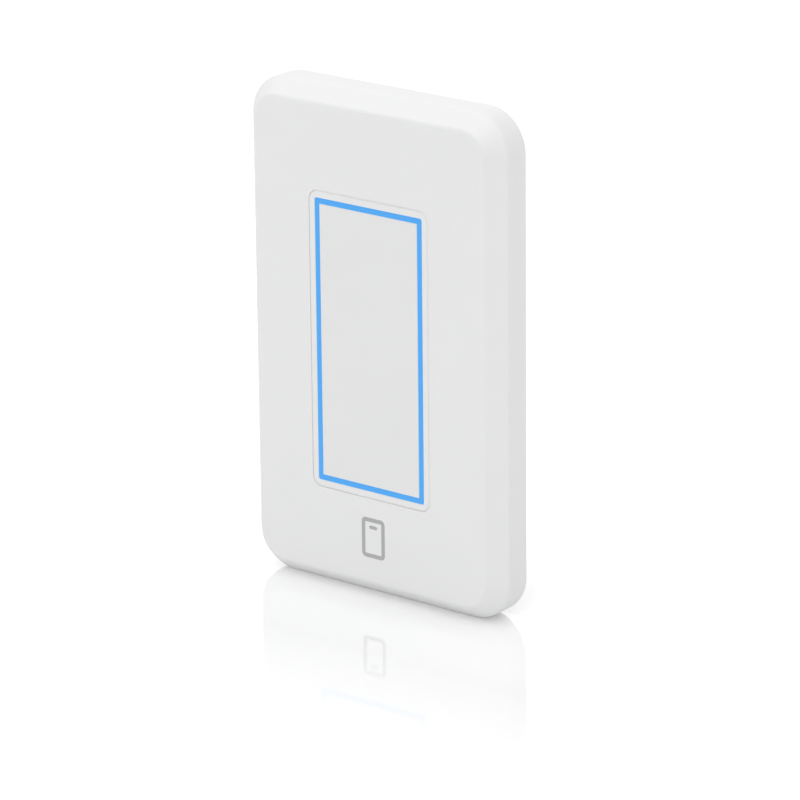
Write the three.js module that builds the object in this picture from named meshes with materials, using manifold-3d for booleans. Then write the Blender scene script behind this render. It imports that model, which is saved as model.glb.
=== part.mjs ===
// A flush-mount proximity card reader for a single-gang wall box, with a screwless clip-on wall plate.
// It is modelled as it hangs on the wall: x to the right, y up, z out of the wall towards the user, and
// z = 0 is the wall's surface. The last group stands it up, so that +Z is up and the front faces -Y.
// Sizes are in millimetres.
import * as THREE from "three";
import { mergeVertices } from "three/addons/utils/BufferGeometryUtils.js";
import Module from "manifold-3d";

const wasm = await Module();
wasm.setup();

// ---------------------------------------------------------------- driving dimensions

const SEAT = 0.05; // gap left between two faces that rest on each other
const CLEAR = 0.3; // gap round a piece that comes off or slides
const OVERLAP = 0.2; // how far two shapes that are joined run into each other
const PAST = 1; // how far a cutting tool runs past the face that it cuts
const CORNER_STEPS = 4; // curve steps in a large rounded corner
const FINE_STEPS = 2; // curve steps in a small rounded corner

// The wall plate: a standard single-gang plate, 2 3/4 by 4 1/2 inches.
const PLATE = { width: 69.85, height: 114.3, depth: 10.35, radius: 9.5 };
const BEVEL = { inward: 3.53, deep: 3.93 }; // the flat bevel round the plate's front edge
const PLATE_WALL = 1.6;
const PLATE_FRONT_WALL = 2.0;
const INNER_BEVEL = 0.9; // size of the bevel inside the plate, as a share of the one outside
const COVER_COLLAR = { wall: 1.2, back: 7.2 }; // the rim round the plate's opening
const PRY_SLOT = { width: 12, height: 1.6, deep: 2 }; // in the bottom edge, next to the wall

// The reader's front face, seen through the plate's opening.
const FACE = { width: 32.14, height: 67.56, radius: 2.15 };
const RING = { width: 29.23, height: 64.61, line: 1.15 }; // the lit line, outside size
const FACE_WALL = 1.5;

// The layers of the reader, as heights above the wall.
const SHOULDER = 6.8; // where the narrow collar becomes the wide body
const BODY = { width: 37.2, height: 72.6, radius: 2.6, wall: 1.4 };
const BODY_GAP = 0.4; // between the wide body and the sub-plate
const COLLAR_WALL = 1.02;
const LEDGE = 5.9; // underside of the shoulder, which the front board rests against
const FRONT_BOARD = { back: 4.8, front: 5.8 };
const MAIN_BOARD = { back: -4.2, front: -2.6 };
const MAIN_BOARD_NOTCH = { x: 12.5, y: 30.2 };
const FRONT_BOARD_NOTCH = { x: 13.4, y: 31.1 };
const BOARD_GAP = 0.3; // between a board's edge and the housing
const HOUSING = { width: 40, height: 73.4, radius: 3, back: -12, wall: 1.5, backWall: 1.8 };

// Fixing to the wall box: the two screw spacings that every single-gang device has.
const YOKE = { thick: 1.2, width: 41, length: 105 };
const BOX_SCREW_Y = 83.3 / 2;
const PLATE_SCREW_Y = 96.8 / 2;
const SUB_PLATE = { width: 66, height: 110.4, radius: 7.6, thick: 1.8, rim: 1.8 };
const SUB_PLATE_BACK = YOKE.thick + 0.1; // where it lies on the yoke
const SUB_PLATE_FRONT = SUB_PLATE_BACK + SUB_PLATE.thick;
const STIFFENER = { outside: 3.2, inside: 4.6, height: 1.2 }; // the sub-plate's rib, inwards from its edge
const CLIP_RIB = { length: 6, reach: 1.1, back: 0.6, front: 5.5, sideY: 30, endX: 14 };

// The four long screws that clamp the housings on both sides of the yoke.
const CLAMP = { x: 16, y: 33.7, radius: 1.0, headRadius: 1.9, headHeight: 1.5, seat: -6, length: 11 };

// The pluggable terminal block, on the back near the bottom.
const POLES = 6;
const PITCH = 3.5;
const TERMINAL_Y = -26.55;

// Controls and sensor on the back.
const DIP = { x: 8.5, y: -10, ways: 2, pitch: 2.54, travel: 1.3 };
const RESET = { x: -8.5, y: -10, travel: 0.4, hole: 2.1, recessRadius: 3.3, recess: 0.7 };
const BUZZER = { x: 10.5, y: 26.5, radius: 4.5, height: 4.2 };
const TAMPER = { x: -10.5, y: 26.5, hole: 2.2 };
const LABEL = { width: 26, height: 16, radius: 0.8, y: 9, recess: 0.3, margin: 0.5 };

// ---------------------------------------------------------------- materials

const plastic = (color, roughness) => new THREE.MeshStandardMaterial({ color, roughness, metalness: 0 });
const metal = (color, roughness) => new THREE.MeshStandardMaterial({ color, roughness, metalness: 1 });

const MATERIAL = {
  whitePlastic: plastic(0xececeb, 0.42),
  innerPlastic: plastic(0xd8d9d8, 0.55),
  litRing: new THREE.MeshStandardMaterial({ color: 0x54acf3, roughness: 0.3, emissive: 0x2a7fd0 }),
  blackFoam: plastic(0x17181a, 0.9),
  blackPlastic: plastic(0x1d1e20, 0.5),
  greenPlastic: plastic(0x2f8f4e, 0.5),
  fibre: plastic(0xb9473a, 0.8),
  board: plastic(0x1f5c3c, 0.45),
  ferrite: plastic(0x35363a, 0.7),
  chip: plastic(0x222326, 0.45),
  led: plastic(0xf2f0dc, 0.35),
  label: plastic(0xf4f4f2, 0.6),
  lens: plastic(0x3a1216, 0.15),
  steel: metal(0xb9bcbf, 0.35),
  zinc: metal(0xc9cccf, 0.3),
  copper: metal(0xc98a4b, 0.35),
  can: metal(0xcfd2d4, 0.25),
};

// ---------------------------------------------------------------- shapes and booleans

// A rectangle with round corners, centred on x, y.
function roundedRect(width, height, radius, x = 0, y = 0) {
  const shape = new THREE.Shape();
  const right = x + width / 2 - radius;
  const top = y + height / 2 - radius;
  const left = x - width / 2 + radius;
  const bottom = y - height / 2 + radius;
  shape.absarc(right, top, radius, 0, Math.PI / 2);
  shape.absarc(left, top, radius, Math.PI / 2, Math.PI);
  shape.absarc(left, bottom, radius, Math.PI, Math.PI * 1.5);
  shape.absarc(right, bottom, radius, Math.PI * 1.5, Math.PI * 2);
  shape.closePath();
  return shape;
}

// A flat piece of that outline, from z = back to z = front.
function slab(shape, back, front, steps = CORNER_STEPS) {
  const options = { depth: front - back, bevelEnabled: false, curveSegments: steps };
  return new THREE.ExtrudeGeometry(shape, options).translate(0, 0, back);
}

function roundedSlab(size, back, front, grow = 0) {
  const radius = Math.max(size.radius + grow, 0.1);
  return slab(roundedRect(size.width + 2 * grow, size.height + 2 * grow, radius), back, front);
}

function box(width, height, back, front, x = 0, y = 0) {
  return new THREE.BoxGeometry(width, height, front - back).translate(x, y, (back + front) / 2);
}

// A round bar along z.
function rod(radius, back, front, x = 0, y = 0, steps = 16) {
  const bar = new THREE.CylinderGeometry(radius, radius, front - back, steps);
  return bar.rotateX(Math.PI / 2).translate(x, y, (back + front) / 2);
}

// A turned piece whose axis is z; the profile's points are [radius, z] from the back to the front.
function turned(profile, steps = 16) {
  const points = profile.map(([radius, z]) => new THREE.Vector2(radius, z));
  return new THREE.LatheGeometry(points, steps).rotateX(Math.PI / 2).rotateZ(Math.PI / steps);
}

function toSolid(geometry) {
  const plain = geometry.clone();
  plain.deleteAttribute("normal");
  plain.deleteAttribute("uv");
  const merged = mergeVertices(plain);
  const vertProperties = merged.attributes.position.array;
  const triVerts = new Uint32Array(merged.index.array);
  return new wasm.Manifold(new wasm.Mesh({ numProp: 3, vertProperties, triVerts }));
}

function toGeometry(solid) {
  const mesh = solid.getMesh();
  const geometry = new THREE.BufferGeometry();
  geometry.setAttribute("position", new THREE.BufferAttribute(mesh.vertProperties, 3));
  geometry.setIndex(new THREE.BufferAttribute(mesh.triVerts, 1));
  geometry.computeVertexNormals();
  return geometry;
}

function join(...geometries) {
  return toGeometry(geometries.map(toSolid).reduce((all, next) => all.add(next)));
}

function cut(base, ...tools) {
  return toGeometry(tools.map(toSolid).reduce((rest, tool) => rest.subtract(tool), toSolid(base)));
}

// A slab with round corners whose front edge is bevelled.
function bevelledSlab(size, bevel, back, front) {
  const shape = roundedRect(size.width, size.height, size.radius);
  const raw = new THREE.ExtrudeGeometry(shape, {
    depth: front - bevel.deep - back,
    bevelThickness: bevel.deep,
    bevelSize: bevel.inward,
    bevelOffset: -bevel.inward,
    bevelSegments: 1,
    curveSegments: CORNER_STEPS,
  }).translate(0, 0, back);
  const backBevel = box(size.width + PAST, size.height + PAST, back - bevel.deep - PAST, back);
  return cut(raw, backBevel);
}

const SIDES = [1, -1];
const ENDS = { top: 1, bottom: -1 };

// Every combination of the two signs, for what repeats in four corners.
const CORNERS = [
  [1, 1],
  [-1, 1],
  [-1, -1],
  [1, -1],
];
const cornerCopies = (x, y, make) => CORNERS.map(([sx, sy]) => make(sx * x, sy * y));

function mesh(name, geometry, material, x = 0, y = 0, z = 0) {
  const made = new THREE.Mesh(geometry, material);
  made.name = name;
  made.position.set(x, y, z);
  return made;
}

// ---------------------------------------------------------------- the clip-on plate

const PLATE_INSIDE = {
  width: PLATE.width - 2 * PLATE_WALL,
  height: PLATE.height - 2 * PLATE_WALL,
  radius: PLATE.radius - PLATE_WALL,
};

// Where the cover's ribs grip the sub-plate: [x, y, width, height] of each rib, grown by a gap.
function clipRibs(gap) {
  const across = CLIP_RIB.reach + gap;
  const along = CLIP_RIB.length + 2 * gap;
  const x = PLATE_INSIDE.width / 2 - across / 2;
  const y = PLATE_INSIDE.height / 2 - across / 2;
  return [
    ...cornerCopies(x, CLIP_RIB.sideY, (cx, cy) => [cx, cy, across, along]),
    ...cornerCopies(CLIP_RIB.endX, y, (cx, cy) => [cx, cy, along, across]),
  ];
}

function coverPlate() {
  const ceiling = PLATE.depth - PLATE_FRONT_WALL;
  const innerBevel = { inward: BEVEL.inward * INNER_BEVEL, deep: BEVEL.deep * INNER_BEVEL };
  const collar = roundedSlab(FACE, COVER_COLLAR.back, ceiling + OVERLAP, CLEAR + COVER_COLLAR.wall);
  const ribs = clipRibs(0).map(([x, y, width, height]) => {
    const reachOut = width < height ? [Math.sign(x) * OVERLAP, 0] : [0, Math.sign(y) * OVERLAP];
    return box(width, height, CLIP_RIB.back, CLIP_RIB.front, x + reachOut[0], y + reachOut[1]);
  });
  const shell = cut(
    bevelledSlab(PLATE, BEVEL, 0, PLATE.depth),
    bevelledSlab(PLATE_INSIDE, innerBevel, -PAST, ceiling),
  );
  const prySlot = box(PRY_SLOT.width, 2 * PRY_SLOT.deep, -PAST, PRY_SLOT.height, 0, -PLATE.height / 2);
  return cut(join(shell, collar, ...ribs), roundedSlab(FACE, 0, PLATE.depth + PAST, CLEAR), prySlot);
}

// A notch for each of the cover's ribs, open to the sub-plate's edge.
function ribNotches(front) {
  return clipRibs(CLEAR).map(([x, y, width, height]) => {
    const sideways = width < height;
    const [outX, outY] = sideways ? [Math.sign(x) * PAST, 0] : [0, Math.sign(y) * PAST];
    const [wide, high] = sideways ? [width + 2 * PAST, height] : [width, height + 2 * PAST];
    return box(wide, high, -PAST, front, x + outX, y + outY);
  });
}

function countersink(y) {
  const depth = 1.5;
  const small = 2.0;
  const large = 3.7;
  const profile = [
    [0, -depth],
    [small, -depth],
    [large, 0],
    [large, PAST],
    [0, PAST],
  ];
  return turned(profile).translate(0, y, SUB_PLATE_FRONT);
}

function subPlate() {
  const ribFront = SUB_PLATE_FRONT + STIFFENER.height;
  const stiffener = cut(
    roundedSlab(SUB_PLATE, SUB_PLATE_FRONT - OVERLAP, ribFront, -STIFFENER.outside),
    roundedSlab(SUB_PLATE, SUB_PLATE_FRONT - PAST, ribFront + PAST, -STIFFENER.inside),
  );
  const headHole = 4; // a box screw's head passes through
  const shankHole = 2.1;
  return cut(
    join(roundedSlab(SUB_PLATE, 0, SUB_PLATE_FRONT), stiffener),
    roundedSlab(SUB_PLATE, -PAST, SUB_PLATE_BACK, -SUB_PLATE.rim),
    roundedSlab(BODY, -PAST, ribFront + PAST, BODY_GAP),
    ...SIDES.map((side) => rod(headHole, -PAST, ribFront, 0, side * BOX_SCREW_Y, 20)),
    ...SIDES.map((side) => rod(shankHole, -PAST, ribFront, 0, side * PLATE_SCREW_Y)),
    ...SIDES.map((side) => countersink(side * PLATE_SCREW_Y)),
    ...ribNotches(SUB_PLATE_FRONT + OVERLAP),
  );
}

// ---------------------------------------------------------------- the yoke and its screws

function yokeOutline() {
  const shape = new THREE.Shape();
  const half = YOKE.width / 2;
  const end = YOKE.length / 2;
  const neck = 11;
  const shoulder = 38.4;
  const taper = 3;
  const corner = 3;
  shape.moveTo(half, -shoulder);
  shape.lineTo(half, shoulder);
  shape.lineTo(neck, shoulder + taper);
  shape.lineTo(neck, end - corner);
  shape.absarc(neck - corner, end - corner, corner, 0, Math.PI / 2);
  shape.absarc(corner - neck, end - corner, corner, Math.PI / 2, Math.PI);
  shape.lineTo(-neck, shoulder + taper);
  shape.lineTo(-half, shoulder);
  shape.lineTo(-half, -shoulder);
  shape.lineTo(-neck, -shoulder - taper);
  shape.absarc(corner - neck, corner - end, corner, Math.PI, Math.PI * 1.5);
  shape.absarc(neck - corner, corner - end, corner, Math.PI * 1.5, Math.PI * 2);
  shape.lineTo(neck, -shoulder - taper);
  return shape;
}

function mountingYoke() {
  const window = { width: 28.8, height: 61.2, radius: 2 };
  const slot = { width: 7, height: 4.3, radius: 2.14 };
  const tappedHole = 1.95;
  const clampHole = CLAMP.radius + 0.3;
  const ear = { x: 11.4, y: 47.9, radius: 4, hole: 1.9 };
  const front = YOKE.thick + PAST;
  const slotShape = (y) => roundedRect(slot.width, slot.height, slot.radius, 0, y);
  return cut(
    join(
      slab(yokeOutline(), 0, YOKE.thick),
      ...cornerCopies(ear.x, ear.y, (x, y) => rod(ear.radius, 0, YOKE.thick, x, y)),
    ),
    roundedSlab(window, -PAST, front),
    ...SIDES.map((side) => slab(slotShape(side * BOX_SCREW_Y), -PAST, front)),
    ...SIDES.map((side) => rod(tappedHole, -PAST, front, 0, side * PLATE_SCREW_Y)),
    ...cornerCopies(CLAMP.x, CLAMP.y, (x, y) => rod(clampHole, -PAST, front, x, y)),
    ...cornerCopies(ear.x, ear.y, (x, y) => rod(ear.hole, -PAST, front, x, y)),
  );
}

// The two bars that cut a cross recess into a screw's head.
function crossRecess(size, depth) {
  const line = size * 0.22;
  return [box(size, line, -depth, PAST), box(line, size, -depth, PAST)];
}

// A screw whose head's underside is at z = 0 and whose tip points to -z. A countersunk head tapers over sink.
function screw({ head, headHeight, shank, length, crown = 0.55, sink = 0 }) {
  const tip = Math.min(0.8, shank * 0.6);
  const profile = [
    [0, -length],
    [shank - tip, -length],
    [shank, -length + tip],
    [shank, -sink],
    [head, 0],
    [head, headHeight * crown],
    [head * 0.72, headHeight],
    [0, headHeight],
  ];
  return cut(
    turned(profile, 14),
    ...crossRecess(head * 1.05, headHeight * 0.75).map((bar) => bar.translate(0, 0, headHeight)),
  );
}

const boxScrew = () => screw({ head: 3.4, headHeight: 2.1, shank: 1.75, length: 18.2 });
const plateScrew = () => screw({ head: 3.45, headHeight: 0.5, shank: 1.75, length: 9.5, sink: 1.45 });
const clampScrew = () => {
  const { headRadius, headHeight, radius, length } = CLAMP;
  return screw({ head: headRadius, headHeight, shank: radius, length, crown: 0.7 });
};

// The fibre washer that keeps a box screw in its slot.
function screwRetainer() {
  const washer = { radius: 4.2, hole: 1.95, thick: 0.8 };
  return cut(rod(washer.radius, -SEAT - washer.thick, -SEAT, 0, 0, 20), rod(washer.hole, -2, PAST));
}

// ---------------------------------------------------------------- the reader's front half

const BODY_INSIDE = {
  width: BODY.width - 2 * BODY.wall,
  height: BODY.height - 2 * BODY.wall,
  radius: BODY.radius - BODY.wall,
};

function frontHousing() {
  const base = YOKE.thick + SEAT;
  const roof = PLATE.depth - FACE_WALL;
  const boss = 2.2;
  const hole = CLAMP.radius + 0.1;
  const holeEnd = LEDGE - 0.6;
  const bosses = cornerCopies(CLAMP.x, CLAMP.y, (x, y) => rod(boss, base, LEDGE + OVERLAP, x, y));
  const shell = cut(
    join(roundedSlab(FACE, SHOULDER - OVERLAP, PLATE.depth), roundedSlab(BODY, base, SHOULDER)),
    roundedSlab(BODY_INSIDE, 0, LEDGE),
    roundedSlab(FACE, 0, roof, -COLLAR_WALL),
    box(RING.width + 2 * SEAT, RING.height + 2 * SEAT, 0, PLATE.depth + PAST),
  );
  const holes = cornerCopies(CLAMP.x, CLAMP.y, (x, y) => rod(hole, 0, holeEnd, x, y));
  return cut(join(shell, ...bosses), ...holes);
}

// A rectangular frame with square corners.
function frame(outWidth, outHeight, inWidth, inHeight, back, front) {
  return cut(box(outWidth, outHeight, back, front), box(inWidth, inHeight, back - PAST, front + PAST));
}

const WINDOW = {
  width: RING.width - 2 * (RING.line + SEAT),
  height: RING.height - 2 * (RING.line + SEAT),
  back: PLATE.depth - FACE_WALL,
};

function lightRing() {
  const inWidth = RING.width - 2 * RING.line;
  const inHeight = RING.height - 2 * RING.line;
  const flange = { front: WINDOW.back - SEAT, back: WINDOW.back - 1.15, out: 0.33, in: 1.05, radius: 1.6 };
  const legEnd = FRONT_BOARD.front + 0.95; // just in front of the lamps
  const plate = roundedRect(RING.width + 2 * flange.out, RING.height + 2 * flange.out, flange.radius);
  const hole = { width: inWidth - 2 * flange.in, height: inHeight - 2 * flange.in };
  return join(
    frame(RING.width, RING.height, inWidth, inHeight, flange.front - OVERLAP, PLATE.depth),
    cut(
      slab(plate, flange.back, flange.front, FINE_STEPS),
      box(hole.width, hole.height, flange.back - PAST, flange.front + PAST),
    ),
    frame(RING.width, RING.height, inWidth, inHeight, legEnd, flange.back + OVERLAP),
  );
}

// The blank panel inside the lit line, thicker over most of its back.
function readWindow() {
  const pad = { width: 22, height: 54, radius: 1, thick: 0.6 };
  return join(
    box(WINDOW.width, WINDOW.height, WINDOW.back, PLATE.depth),
    roundedSlab(pad, WINDOW.back - pad.thick, WINDOW.back + OVERLAP),
  );
}

// The foam frame that keeps the lamps' light out of the window.
function lightBaffle() {
  const gap = 0.2;
  const wall = 1;
  const width = RING.width - 2 * (RING.line + gap);
  const height = RING.height - 2 * (RING.line + gap);
  const top = WINDOW.back - 1.2;
  return frame(width, height, width - 2 * wall, height - 2 * wall, FRONT_BOARD.front + SEAT, top);
}

// A board that fills a housing's inside, less a square in each corner, where the screw columns stand.
function notchedBoard(inside, notch, { back, front }) {
  const reach = 20; // long enough to run off the board
  const radius = 0.8;
  const notches = cornerCopies(notch.x + reach / 2, notch.y + reach / 2, (x, y) =>
    box(reach, reach, back - PAST, front + PAST, x, y),
  );
  const outline = roundedRect(inside.width - 2 * BOARD_GAP, inside.height - 2 * BOARD_GAP, radius);
  return cut(slab(outline, back, front, FINE_STEPS), ...notches);
}

const frontBoard = () => notchedBoard(BODY_INSIDE, FRONT_BOARD_NOTCH, FRONT_BOARD);

const COIL = { width: 23.2, height: 51, y: -4, turns: 5, track: 0.9, pitch: 1.5, thick: 0.14 };

// The antenna: one copper track that winds inwards, turn by turn.
function antennaCoil() {
  const line = [];
  for (let turn = 0; turn < COIL.turns; turn += 1) {
    const halfX = COIL.width / 2 - turn * COIL.pitch;
    const halfY = COIL.height / 2 - turn * COIL.pitch;
    line.push([-halfX, -halfY], [halfX, -halfY], [halfX, halfY], [COIL.pitch - halfX, halfY]);
  }
  line.shift();
  line.unshift([-COIL.width / 2 + COIL.pitch, -COIL.height / 2]);
  const last = line[line.length - 1];
  line.push([last[0], last[1] - COIL.height / 2]);
  const tracks = line.slice(1).map(([x, y], i) => {
    const [px, py] = line[i];
    const width = Math.abs(x - px) + COIL.track;
    const height = Math.abs(y - py) + COIL.track;
    return box(width, height, 0, COIL.thick, (x + px) / 2, (y + py) / 2);
  });
  return join(...tracks);
}

const FERRITE = { width: 23, height: 51, radius: 1.5, thick: 0.5 };
const ferriteSheet = () => roundedSlab(FERRITE, -FERRITE.thick, 0);

// A lamp: a base with the solder ends, and a clear block on top.
function statusLed() {
  const base = { width: 2, height: 1.1, front: 0.35 };
  const lens = { width: 1.7, height: 1.0, back: 0.3, front: 0.8 };
  return join(
    box(base.width, base.height, 0, base.front),
    box(lens.width, lens.height, lens.back, lens.front),
  );
}

// Three lamps stand along each long side of the ring and two along each end: [x, y, turned].
function ledPlaces() {
  const x = (RING.width - RING.line) / 2;
  const y = (RING.height - RING.line) / 2;
  const spacing = 21;
  const endX = 7;
  const sides = [spacing, 0, -spacing].flatMap((along) => [
    [x, along, true],
    [-x, along, true],
  ]);
  return [...sides, ...cornerCopies(endX, y, (cx, cy) => [cx, cy, false])];
}

// ---------------------------------------------------------------- the reader's back half

const HOUSING_INSIDE = {
  width: HOUSING.width - 2 * HOUSING.wall,
  height: HOUSING.height - 2 * HOUSING.wall,
  radius: HOUSING.radius - HOUSING.wall,
};
const FLOOR = HOUSING.back + HOUSING.backWall; // inner face of the housing's back wall

// What is cut through the housing's back wall, or into it as far as the given depth.
function wallOpenings() {
  const back = HOUSING.back - PAST;
  const front = FLOOR + PAST;
  const through = (width, height, radius, x, y) => {
    return slab(roundedRect(width, height, radius, x, y), back, front, FINE_STEPS);
  };
  const sound = { width: 1.1, height: 6, radius: 0.54, spacing: 2.4 };
  const terminal = { width: 24.8, height: 9.6, radius: 1 };
  const dip = { width: 6.8, height: 5, radius: 0.8 };
  const label = roundedRect(LABEL.width + 2 * LABEL.margin, LABEL.height + 2 * LABEL.margin, 1, 0, LABEL.y);
  return [
    ...[-sound.spacing, 0, sound.spacing].map((offset) =>
      through(sound.width, sound.height, sound.radius, BUZZER.x + offset, BUZZER.y),
    ),
    through(terminal.width, terminal.height, terminal.radius, 0, TERMINAL_Y),
    through(dip.width, dip.height, dip.radius, DIP.x, DIP.y),
    rod(RESET.hole, back, front, RESET.x, RESET.y),
    rod(RESET.recessRadius, back, HOUSING.back + RESET.recess, RESET.x, RESET.y),
    rod(TAMPER.hole, back, front, TAMPER.x, TAMPER.y),
    slab(label, back, HOUSING.back + LABEL.recess, FINE_STEPS),
  ];
}

function rearHousing() {
  const mouth = -SEAT;
  const column = 3;
  const post = { x: 15.4, y: 17.5, radius: 1.6 };
  const bore = CLAMP.radius + 0.15;
  const counterbore = CLAMP.headRadius + CLEAR;
  const inWall = HOUSING.backWall / 2; // a column starts inside the back wall
  const postEnd = MAIN_BOARD.back - SEAT;
  return cut(
    join(
      cut(roundedSlab(HOUSING, HOUSING.back, mouth), roundedSlab(HOUSING_INSIDE, FLOOR, PAST)),
      ...cornerCopies(CLAMP.x, CLAMP.y, (x, y) => rod(column, HOUSING.back + inWall, mouth, x, y)),
      ...cornerCopies(post.x, post.y, (x, y) => rod(post.radius, FLOOR - inWall, postEnd, x, y, 10)),
    ),
    ...cornerCopies(CLAMP.x, CLAMP.y, (x, y) => rod(bore, CLAMP.seat, PAST, x, y)),
    ...cornerCopies(CLAMP.x, CLAMP.y, (x, y) => rod(counterbore, HOUSING.back - PAST, CLAMP.seat, x, y)),
    ...wallOpenings(),
  );
}

const mainBoard = () => notchedBoard(HOUSING_INSIDE, MAIN_BOARD_NOTCH, MAIN_BOARD);

const LEG = { root: 0.2, thick: 0.3, share: 0.45 }; // a chip's leg: the stretch inside it, and width by pitch

// A chip with legs along its sides; it stands on z = 0 and rises towards +z.
function flatPackage(side, height, legs, reach) {
  const body = box(side, side, 0, height);
  const corner = 0.6; // from the body's corner to the first leg
  const pitch = (side - 2 * corner) / (legs - 1);
  const rows = Array.from({ length: legs }, (_, i) => (i - (legs - 1) / 2) * pitch);
  const long = reach + LEG.root;
  const wide = pitch * LEG.share;
  const out = side / 2 + reach - long / 2;
  const leads = rows.flatMap((at) => [
    ...[1, -1].map((end) => box(long, wide, 0, LEG.thick, end * out, at)),
    ...[1, -1].map((end) => box(wide, long, 0, LEG.thick, at, end * out)),
  ]);
  return join(body, ...leads);
}

const crystalCan = () => slab(roundedRect(3.2, 2.5, 0.35), 0, 0.8, FINE_STEPS);

function powerInductor() {
  const core = { width: 7, height: 7, radius: 1.4 };
  const top = 3;
  const groove = { outer: 3.2, inner: 2.5, deep: 0.3 };
  return cut(
    roundedSlab(core, 0, top),
    cut(rod(groove.outer, top - groove.deep, top + PAST), rod(groove.inner, 0, top + 2 * PAST)),
  );
}

function electrolyticCap() {
  const base = { side: 6.6, front: 1.1 };
  const can = turned([
    [0, 0.9],
    [3.15, 0.9],
    [3.15, 4.9],
    [2.9, 5.3],
    [0, 5.3],
  ]);
  return join(box(base.side, base.side, 0, base.front), can);
}

function buzzerCan() {
  const port = { radius: 1, deep: 0.8 };
  const body = rod(BUZZER.radius, -BUZZER.height, 0, 0, 0, 20);
  return cut(body, rod(port.radius, -BUZZER.height - PAST, -BUZZER.height + port.deep, 0, 0, 10));
}

// Places along a row of equal pitch, centred on 0.
const row = (count, pitch) => Array.from({ length: count }, (_, i) => (i - (count - 1) / 2) * pitch);

// The row of pins that joins the two boards, and its socket.
const HEADER = { ways: 6, pitch: 2.54, y: 27.5, deep: 2.5, pin: 0.64, pinLength: 5.9 };
const SOCKET = { length: 4, well: 1.1, floor: 0.6 };
const headerColumns = row(HEADER.ways, HEADER.pitch);

function boardHeader() {
  const pins = headerColumns.map((x) => box(HEADER.pin, HEADER.pin, 0, HEADER.pinLength, x, 0));
  return join(box(HEADER.ways * HEADER.pitch, HEADER.deep, 0, HEADER.deep), ...pins);
}

function boardSocket() {
  const back = -SOCKET.length - PAST;
  const wells = headerColumns.map((x) => box(SOCKET.well, SOCKET.well, back, -SOCKET.floor, x, 0));
  return cut(box(HEADER.ways * HEADER.pitch, HEADER.deep, -SOCKET.length, 0), ...wells);
}

// ---------------------------------------------------------------- terminal block

const poleColumns = row(POLES, PITCH);
const SHROUD = {
  width: 22.9,
  height: 7.9,
  wall: 0.9,
  front: MAIN_BOARD.back - SEAT,
  back: -13.2,
  floor: 1.6,
};
const CONTACT = { pin: 1, back: -12, hole: 1.5, holeBack: -12.5 };

function terminalHeader() {
  const inside = { width: SHROUD.width - 2 * SHROUD.wall, height: SHROUD.height - 2 * SHROUD.wall };
  const floor = SHROUD.front - SHROUD.floor;
  const pins = poleColumns.map((x) => box(CONTACT.pin, CONTACT.pin, CONTACT.back, floor + OVERLAP, x, 0));
  const shroud = cut(
    box(SHROUD.width, SHROUD.height, SHROUD.back, SHROUD.front),
    box(inside.width, inside.height, SHROUD.back - PAST, floor),
  );
  return join(shroud, ...pins);
}

const PLUG = {
  nose: { width: 20.5, height: 5.5, front: -6.2 },
  body: { width: 21.8, height: 9.1, front: SHROUD.back - CLEAR, back: -19.6 },
  wire: { width: 2.5, height: 2.7, deep: 4.5, y: -2.35 },
  screw: { y: 2.25, well: 1.5, wellDeep: 2.3, bore: 1.05, boreDeep: 4.9 },
  groove: { width: 0.5, deep: 0.4 },
};

// Shallow grooves between the poles, on both long sides of the plug.
function plugGrooves() {
  const { body, groove } = PLUG;
  return row(POLES - 1, PITCH).flatMap((x) =>
    SIDES.map((side) =>
      box(groove.width, 2 * groove.deep, body.back - PAST, body.front - PAST, x, side * body.height / 2),
    ),
  );
}

function terminalPlug() {
  const { nose, body, wire, screw: clamp } = PLUG;
  const back = body.back - PAST;
  return cut(
    join(
      box(nose.width, nose.height, body.front - OVERLAP, nose.front),
      box(body.width, body.height, body.back, body.front),
    ),
    ...poleColumns.map((x) => box(CONTACT.hole, CONTACT.hole, CONTACT.holeBack, nose.front + PAST, x, 0)),
    ...poleColumns.map((x) => box(wire.width, wire.height, back, body.back + wire.deep, x, wire.y)),
    ...poleColumns.map((x) => rod(clamp.well, back, body.back + clamp.wellDeep, x, clamp.y, 12)),
    ...poleColumns.map((x) => rod(clamp.bore, back, body.back + clamp.boreDeep, x, clamp.y, 10)),
    ...plugGrooves(),
  );
}

// A clamping screw seen from the back of the plug: its head is at -z.
function clampingScrew() {
  const head = { radius: 1.35, height: 1.9 };
  const shank = { radius: 0.9, length: 2.2 };
  const slot = { length: 3, wide: 0.45, deep: 0.7 };
  return cut(
    join(rod(head.radius, -head.height, 0, 0, 0, 12), rod(shank.radius, -OVERLAP, shank.length, 0, 0, 8)),
    box(slot.length, slot.wide, -head.height - PAST, slot.deep - head.height),
  );
}

// ---------------------------------------------------------------- controls and sensor

const dipColumns = row(DIP.ways, DIP.pitch);
const DIP_BODY = { width: 6.6, height: 6.2, back: -4.25, slotWide: 1.4, slotLong: 3.2, slotDeep: 1.7 };

function dipSwitch() {
  const { width, height, back, slotWide, slotLong, slotDeep } = DIP_BODY;
  const slots = dipColumns.map((x) => box(slotWide, slotLong, back - PAST, back + slotDeep, x, 0));
  return cut(box(width, height, back, -SEAT), ...slots);
}

// A slider at the low end of its slot, standing a little proud of the switch.
function dipSlider() {
  const low = -DIP.travel / 2;
  const foot = { width: 1.1, height: 1.4, back: DIP_BODY.back + 0.3, front: DIP_BODY.back + 1.5 };
  const grip = { side: 0.9, back: DIP_BODY.back - 0.6, front: DIP_BODY.back + 0.5 };
  return join(
    box(foot.width, foot.height, foot.back, foot.front, 0, low),
    box(grip.side, grip.side, grip.back, grip.front, 0, low),
  );
}

const TACT = { side: 6, height: 3.1 };
const tactSwitch = () => box(TACT.side, TACT.side, -TACT.height, -SEAT);

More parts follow.
